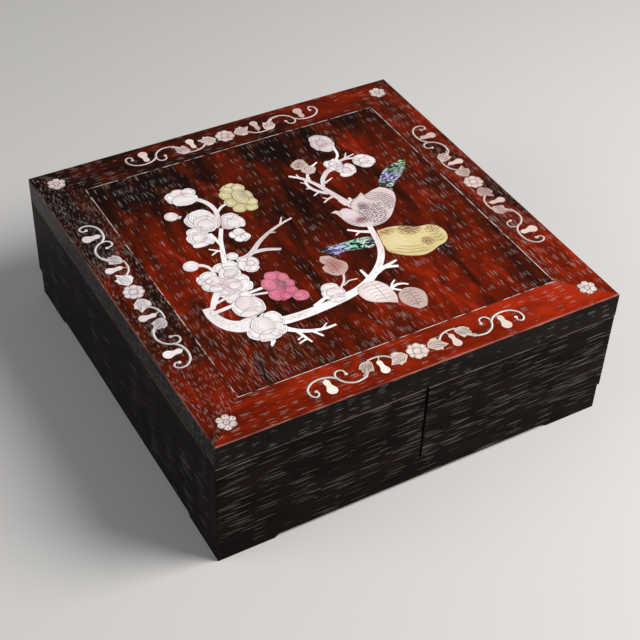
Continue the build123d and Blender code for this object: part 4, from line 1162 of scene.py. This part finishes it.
pale_pearl = ((0.98, 0.96, 0.96), (0.92, 0.80, 0.80), (0.84, 0.84, 0.88))
rose_pearl = ((0.66, 0.53, 0.48), (0.56, 0.38, 0.34), (0.76, 0.70, 0.66))
yellow_pearl = ((0.80, 0.76, 0.42), (0.74, 0.66, 0.34), (0.78, 0.78, 0.60))
pink_pearl = ((0.76, 0.19, 0.30), (0.84, 0.34, 0.44), (0.66, 0.13, 0.23))
picture_shells = (
    ("picture_branch", "white_shell", shell("branch_pearl", pale_pearl, 50.0, [
        (-54, -77, 12, 5, 0.45, (0.42, 0.38, 0.36)),
        (38, -32, 14, 34, 0.9, (0.80, 0.66, 0.66)),
        (38, 34, 18, 34, 0.8, (0.80, 0.70, 0.69)),
        (48, 66, 14, 16, 0.8, (0.80, 0.70, 0.66)),
        (-108, -50, 14, 22, 0.5, (0.80, 0.74, 0.74)),
        (28, -55, 9, 6, 0.40, (0.52, 0.42, 0.40)),
        (-34, 14, 26, 14, 0.40, (0.62, 0.54, 0.50)),
    ])),
    ("picture_blossoms", "white_shell", shell("blossom_pearl", pale_pearl, 55.0, [
        (-66, 90, 8, 6, 0.45, (0.86, 0.56, 0.55)),
        (-88, -22, 12, 10, 0.35, (0.84, 0.62, 0.62)),
        (-58, 47, 8, 10, 0.35, (0.86, 0.62, 0.60)),
        (66, 103, 26, 28, 0.9, (0.68, 0.56, 0.57)),
        (72, 66, 24, 13, 0.7, (0.80, 0.68, 0.69)),
    ])),
    ("picture_leaves", "rose_shell", shell("leaf_pearl", rose_pearl, 70.0, [
        (-4, -40, 13, 15, 0.9, (0.52, 0.21, 0.18)),
        (8, -80, 22, 20, 1.0, (0.92, 0.85, 0.84)),
        (35, 85, 9, 9, 0.6, (0.58, 0.42, 0.33)),
    ])),
    ("picture_yellow_flower", "yellow_shell", shell("yellow_petal_pearl", yellow_pearl, 90.0, [
        (-24, 68, 9, 12, 0.7, (0.42, 0.37, 0.28)),
        (-28, 80, 12, 6, 0.35, (0.84, 0.82, 0.60)),
    ])),
    ("picture_pink_flower", "pink_shell", shell("pink_petal_pearl", pink_pearl, 90.0, [
        (-49, -41, 8, 9, 0.75, (0.40, 0.26, 0.28)),
    ])),
)
layered = {
    "picture_blossoms": blossoms,
    "picture_yellow_flower": [yellow_blossom],
    "picture_pink_flower": [pink_blossom, pink_bud],
    "picture_leaves": beige_blossoms,
}
for node_name, slot_name, pearl in picture_shells:
    ground = -ground_drop if node_name in layered and node_name != "picture_leaves" else 0.0
    fitted(shell_plates(node_name + "_plates", node_plates(node_name), pearl, ground), node_name)
    if node_name in layered:
        fitted(petal_plates(node_name + "_petals", layered[node_name], pearl), node_name)

blossom_ink = new_material("blossom_ink", (0.115, 0.070, 0.070), Roughness=ink_rough)[0]
dark_ink = new_material("dark_ink", (0.075, 0.050, 0.042), Roughness=ink_rough)[0]
leaf_half, leaf_veins = 0.18, 7
branch_strokes = []
for points, first_width, last_width, spacing in (
    ([(-109, -42), (-108.6, -54), (-104.6, -62.6), (-94, -69)], 7, 12, 2.0),
    ([(-70, -76.4), (-54, -78), (-30, -76.8)], 8.4, 7.6, 1.0),
    ([(-8, -73.8), (12, -65.6), (27, -53.6), (36.4, -40), (40.6, -26), (43, -15)], 7.0, 4.6, 1.6),
    ([(45, 17), (41.6, 29), (37.4, 44), (32, 59.4), (24, 69)], 5.6, 2.6, 2.2),
    ([(37, 49), (43, 59.4), (50, 65.4)], 3.0, 4.0, 2.4),
    ([(-74, 3), (-70.4, 12), (-66, 24), (-60, 36)], 4.0, 3.2, 2.0),
    ([(-60, -0.4), (-52, 1), (-42.6, 8.6), (-30, 16.4), (-18, 21.4)], 4.8, 2.4, 1.8),
    ([(-50, 1.0), (-39.6, -0.6), (-31, -4.4)], 4.0, 2.8, 1.8),
    ([(-72, -82), (-63.6, -91), (-51, -96.8), (-40, -97.6)], 4.6, 2.2, 2.2),
    ([(17, -62.4), (29, -58.6), (38, -56.4)], 5.0, 2.2, 1.6),
):
    branch_strokes += bark(points, first_width, last_width, spacing, len(branch_strokes))
branch_strokes += stamens(-25.5, 67.5, 4.6, 8.0, 12) + stamens(-49.5, -41, 3.4, 7.0, 12)
leaf_strokes = weighted([
    through([(-9.6, -28), (-5.4, -37), (-5.2, -51)], 10),
    *fan([(-7.0, -33), (-3.4, -32.6), (-0.6, -34.6)], [(-5.4, -46), (-1.4, -43.6), (3.4, -43.2)], 5),
    *fan([(-7.4, -35), (-9.2, -37.0), (-9.8, -38.4)], [(-5.6, -47), (-8.4, -47.4), (-11.0, -45.0)], 4),
    through([(9.8, -69.4), (10.4, -80), (10.2, -92)], 10),
    *fan([(10.2, -74), (13.2, -73.4), (16.4, -75.4)], [(10.4, -90), (13.4, -89.4), (16.8, -90.4)], 5),
    *fan([(10.2, -74), (5.4, -72.6), (0.4, -74.0)], [(10.2, -90), (6.4, -88.2), (2.6, -89.0)], 5),
    through([(27.4, -88), (28.8, -98), (26.8, -109.6)], 10),
    *fan([(28.4, -92), (32.0, -90.4), (35.4, -93.0)], [(27.6, -106), (30.2, -104.4), (33.2, -107.6)], 5),
    *fan([(28.2, -92), (25.0, -90.8), (22.0, -92.4)], [(27.6, -107), (25.6, -104.4), (22.6, -105.4)], 5),
    *fan([(31, 81), (34.8, 86), (36.6, 90)], [(31, 81), (36.8, 81.6), (40.4, 85)], 4),
], leaf_half)
leaf_strokes += petal_strokes([yellow_blossom, pink_blossom, pink_bud, *beige_blossoms], leaf_veins)
for name, strokes, ink, slot_name in (
    ("petal_engraving", petal_strokes(blossoms), blossom_ink, "white_shell"),
    ("bark_engraving", branch_strokes, dark_ink, "white_shell"),
    ("leaf_engraving", leaf_strokes, dark_ink, "rose_shell"),
):
    fitted(along_paths(name, strokes, engraved_top, stroke_taper, ink))

# The two birds.
# The upper bird is rose-grey shell with a white head and the lower one yellow, their feathers
# engraved in rows and dots. Tails and feet are abalone: the tails shade from violet to green and
# black, and the feet are near-black.

upper_pearl = ((0.93, 0.86, 0.85), (0.86, 0.72, 0.70), (0.90, 0.87, 0.87))
upper_bird_pearl = shell("upper_bird_pearl", upper_pearl, 70.0, [
    (37, 10, 12, 11, 1.0, (0.95, 0.92, 0.93)),
    (33, -4, 10, 14, 0.9, (0.92, 0.88, 0.89)),
    (48, -9, 18, 6, 0.9, (0.92, 0.88, 0.88)),
    (42, -1, 8, 6, 1.0, (0.46, 0.22, 0.20)),
    (52, 13, 6, 6, 0.9, (0.16, 0.14, 0.18)),
    (56, 3, 15, 15, 0.7, (0.68, 0.61, 0.61)),
    (66, 5, 5, 7, 0.9, (0.94, 0.90, 0.90)),
    (52, 24, 9, 6, 0.9, (0.94, 0.88, 0.88)),
    (76, 17, 12, 14, 0.4, (0.82, 0.68, 0.66)),
], dotted=[
    (55, 2, 14, 17, 0.92, (0.045, 0.035, 0.040)),
    (70, 10, 12, 14, 0.55, (0.20, 0.09, 0.09)),
    (43, -3, 7, 5, 0.75, (0.16, 0.05, 0.05)),
])
lower_pearl = ((0.88, 0.79, 0.38), (0.82, 0.68, 0.30), (0.90, 0.85, 0.55))
lower_bird_pearl = shell("lower_bird_pearl", lower_pearl, 60.0, [
    (68, -28, 11, 9, 0.9, (0.66, 0.44, 0.24)),
    (74, -47, 7, 7, 0.9, (0.56, 0.40, 0.20)),
    (84, -47, 9, 9, 0.7, (0.60, 0.54, 0.22)),
    (54, -40, 13, 16, 0.8, (0.95, 0.90, 0.52)),
    (50, -23, 11, 5, 0.9, (0.62, 0.44, 0.20)),
    (66, -56, 16, 5, 0.5, (0.62, 0.56, 0.26)),
], dotted=[
    (69, -28, 12, 9, 0.9, (0.16, 0.050, 0.030)),
    (74, -47, 7, 6, 0.85, (0.12, 0.060, 0.030)),
    (85, -36, 8, 6, 0.9, (0.07, 0.045, 0.020)),
    (51, -24, 10, 5, 0.55, (0.24, 0.110, 0.030)),
])
for node_name, slot_name, pearl in (
    ("picture_upper_bird", "rose_shell", upper_bird_pearl),
    ("picture_lower_bird", "yellow_shell", lower_bird_pearl),
):
    fitted(shell_plates(node_name + "_plates", node_plates(node_name), pearl), node_name)


def strokes_of(*lines):
    """Each line's points as they are given."""
    return [[Vector(p) for p in line] for line in lines]


feather_half, feather_taper = 0.22, 0.3
feather_arcs = ((12.0, 0.36, -62), (14.4, 0.34, -54), (16.8, 0.31, -42), (19.2, 0.27, -26), (21.4, 0.22, -6))
feather_strokes = weighted([
    *[ring(60, 6, r, r * 0.92, 28, 14, part, start) for r, part, start in feather_arcs],
    *[ring(66, 5, r, r * 1.2, 0, 10, 0.62, -60) for r in (2.2, 4.4)],
    *strokes_of(((30.4, 16.4), (31.8, 12.6), (31.0, 7.4))),
    *fan([(31.2, 6), (32.0, -1), (37.4, -7.8)], [(35.4, 4), (36.0, -1), (40.4, -5.4)], 3),
    *fan([(46, -11.4), (54, -12), (63, -7.6)], [(48, -9.6), (55, -9.8), (62, -5.8)], 2),
    *strokes_of(
        ((41.6, 13.6), (44.2, 18.4), (48.0, 21.8), (53.6, 24.2), (59.8, 28.4)),
        ((42.0, 13.6), (45.4, 8.4), (46.8, 2.4), (46.0, -3.4)),
        ((60.4, 26.0), (60.4, 20.0), (63.4, 15.0)),
    ),
    ring(52.6, 13.0, 3.6, 4.6, 20, 14),
    *fan([(38.6, 0.4), (39.4, -2.6), (40.4, -5.4)], [(46.4, 0.0), (46.4, -3), (46.0, -6.0)], 4),
    *fan([(43, -45), (54, -53), (70, -57)], [(50, -42), (60, -48), (69, -50)], 3),
    *fan([(79, -41.6), (84, -42.6), (89, -40.6)], [(78, -49), (84, -51), (89, -48.4)], 3),
    ring(85.6, -36.4, 1.3, count=10),
    *strokes_of(
        ((45.0, -20.4), (43.0, -27.4), (41.0, -35.0), (40.4, -42.6), (43.8, -49.0), (52.0, -55.4)),
    ),
    *fan([(61, -24), (65, -28), (67, -35)], [(70, -23.6), (74, -28), (78, -33)], 4),
    *fan([(61, -24), (66, -23), (71, -25)], [(66, -35), (72, -35), (77, -34)], 4),
    *fan([(70, -44), (73, -43), (77, -44)], [(70, -51), (74, -52), (78, -50)], 3),
    *fan([(46.5, -21.4), (50, -24), (52, -27)], [(55, -20.6), (58, -23), (61, -25)], 3),
], feather_half)
feather_cuts = along_paths("feather_engraving", feather_strokes, engraved_top, feather_taper, dark_ink)
fitted(feather_cuts)

tail_axes = (((81, 23), (113.5, 52)), ((38, -28), (-5, -23)))
tail_stops = (
    (0.00, (0.012, 0.010, 0.014)), (0.07, (0.050, 0.035, 0.070)), (0.10, (0.30, 0.42, 0.24)),
    (0.15, (0.22, 0.17, 0.50)), (0.24, (0.46, 0.40, 0.74)), (0.27, (0.10, 0.30, 0.18)),
    (0.36, (0.34, 0.44, 0.38)), (0.42, (0.14, 0.34, 0.07)), (0.49, (0.20, 0.40, 0.08)),
    (0.52, (0.10, 0.13, 0.12)), (0.62, (0.46, 0.58, 0.54)), (0.72, (0.12, 0.52, 0.28)),
    (0.78, (0.26, 0.46, 0.52)), (0.84, (0.24, 0.20, 0.56)), (0.93, (0.14, 0.12, 0.36)),
    (1.00, (0.12, 0.24, 0.18)),
)
tail_swing = 0.16
tail_cloud_scale, mark_scale = 260.0, 190.0
mark_turn, mark_stretch = math.radians(-30), 1.7
mark_edge, pale_nacre_and_sheen_edge = (0.49, 0.53), (0.42, 0.38)
mark_black = (0.008, 0.008, 0.010)
pale_nacre_and_sheen, pale_nacre_and_sheen_share = (0.70, 0.76, 0.70), 0.6
tail_shares = ((0.02, 0.44), (0.56, 0.42))
foot_share = 0.03
abalone, abalone_tree, abalone_shader = new_material("abalone", IOR=1.5, Coat_Weight=0.2)
tail_place = own_place(abalone_tree)
tail_share = node(abalone_tree, "ShaderNodeAttribute", attribute_name="along").outputs["Fac"]
tail_share = reckon(abalone_tree, "SUBTRACT", tail_share, tail_swing / 2)
tail_cloud = cloud(abalone_tree, tail_place, tail_cloud_scale, distortion=1.5)
tail_tone = reckon(abalone_tree, "MULTIPLY_ADD", tail_cloud, tail_swing, tail_share)
mark_place = {"Vector": tail_place, "Rotation": (0, 0, mark_turn), "Scale": (1, mark_stretch, 1)}
mark_place = node(abalone_tree, "ShaderNodeMapping", mark_place).outputs[0]
mark_noise = cloud(abalone_tree, mark_place, mark_scale, detail=1.0, distortion=1.6)
marks = stepped(abalone_tree, mark_noise, *mark_edge)
# Pale flecks over the tails: partly the abalone's pale nacre, partly a painted sheen.
lit = reckon(abalone_tree, "MULTIPLY", stepped(abalone_tree, mark_noise, *pale_nacre_and_sheen_edge), pale_nacre_and_sheen_share)
tail_colour = tint(abalone_tree, lit, ramp(abalone_tree, tail_tone, tail_stops), pale_nacre_and_sheen)
tail_colour = tint(abalone_tree, marks, tail_colour, mark_black)
abalone_tree.links.new(tail_colour, abalone_shader.inputs["Base Color"])
tail_rough = reckon(abalone_tree, "MULTIPLY_ADD", marks, 0.2, 0.2)
abalone_tree.links.new(tail_rough, abalone_shader.inputs["Roughness"])
for node_name in ("picture_bird_tails", "picture_bird_feet"):
    piece = shell_plates(node_name + "_plates", node_plates(node_name), abalone)
    shares = []
    for vertex in piece.data.vertices:
        place = Vector((vertex.co.x / MM, vertex.co.y / MM))
        number = 0 if place.y > 0 else 1
        start, end = (Vector(p) for p in tail_axes[number])
        share = (place - start).dot(end - start) / (end - start).length_squared
        first, length = tail_shares[number]
        shares.append(first + min(max(share, 0.0), 1.0) * length)
    if node_name == "picture_bird_feet":
        shares = [foot_share] * len(shares)
    keep_numbers(piece, "along", shares)
    fitted(piece, node_name)
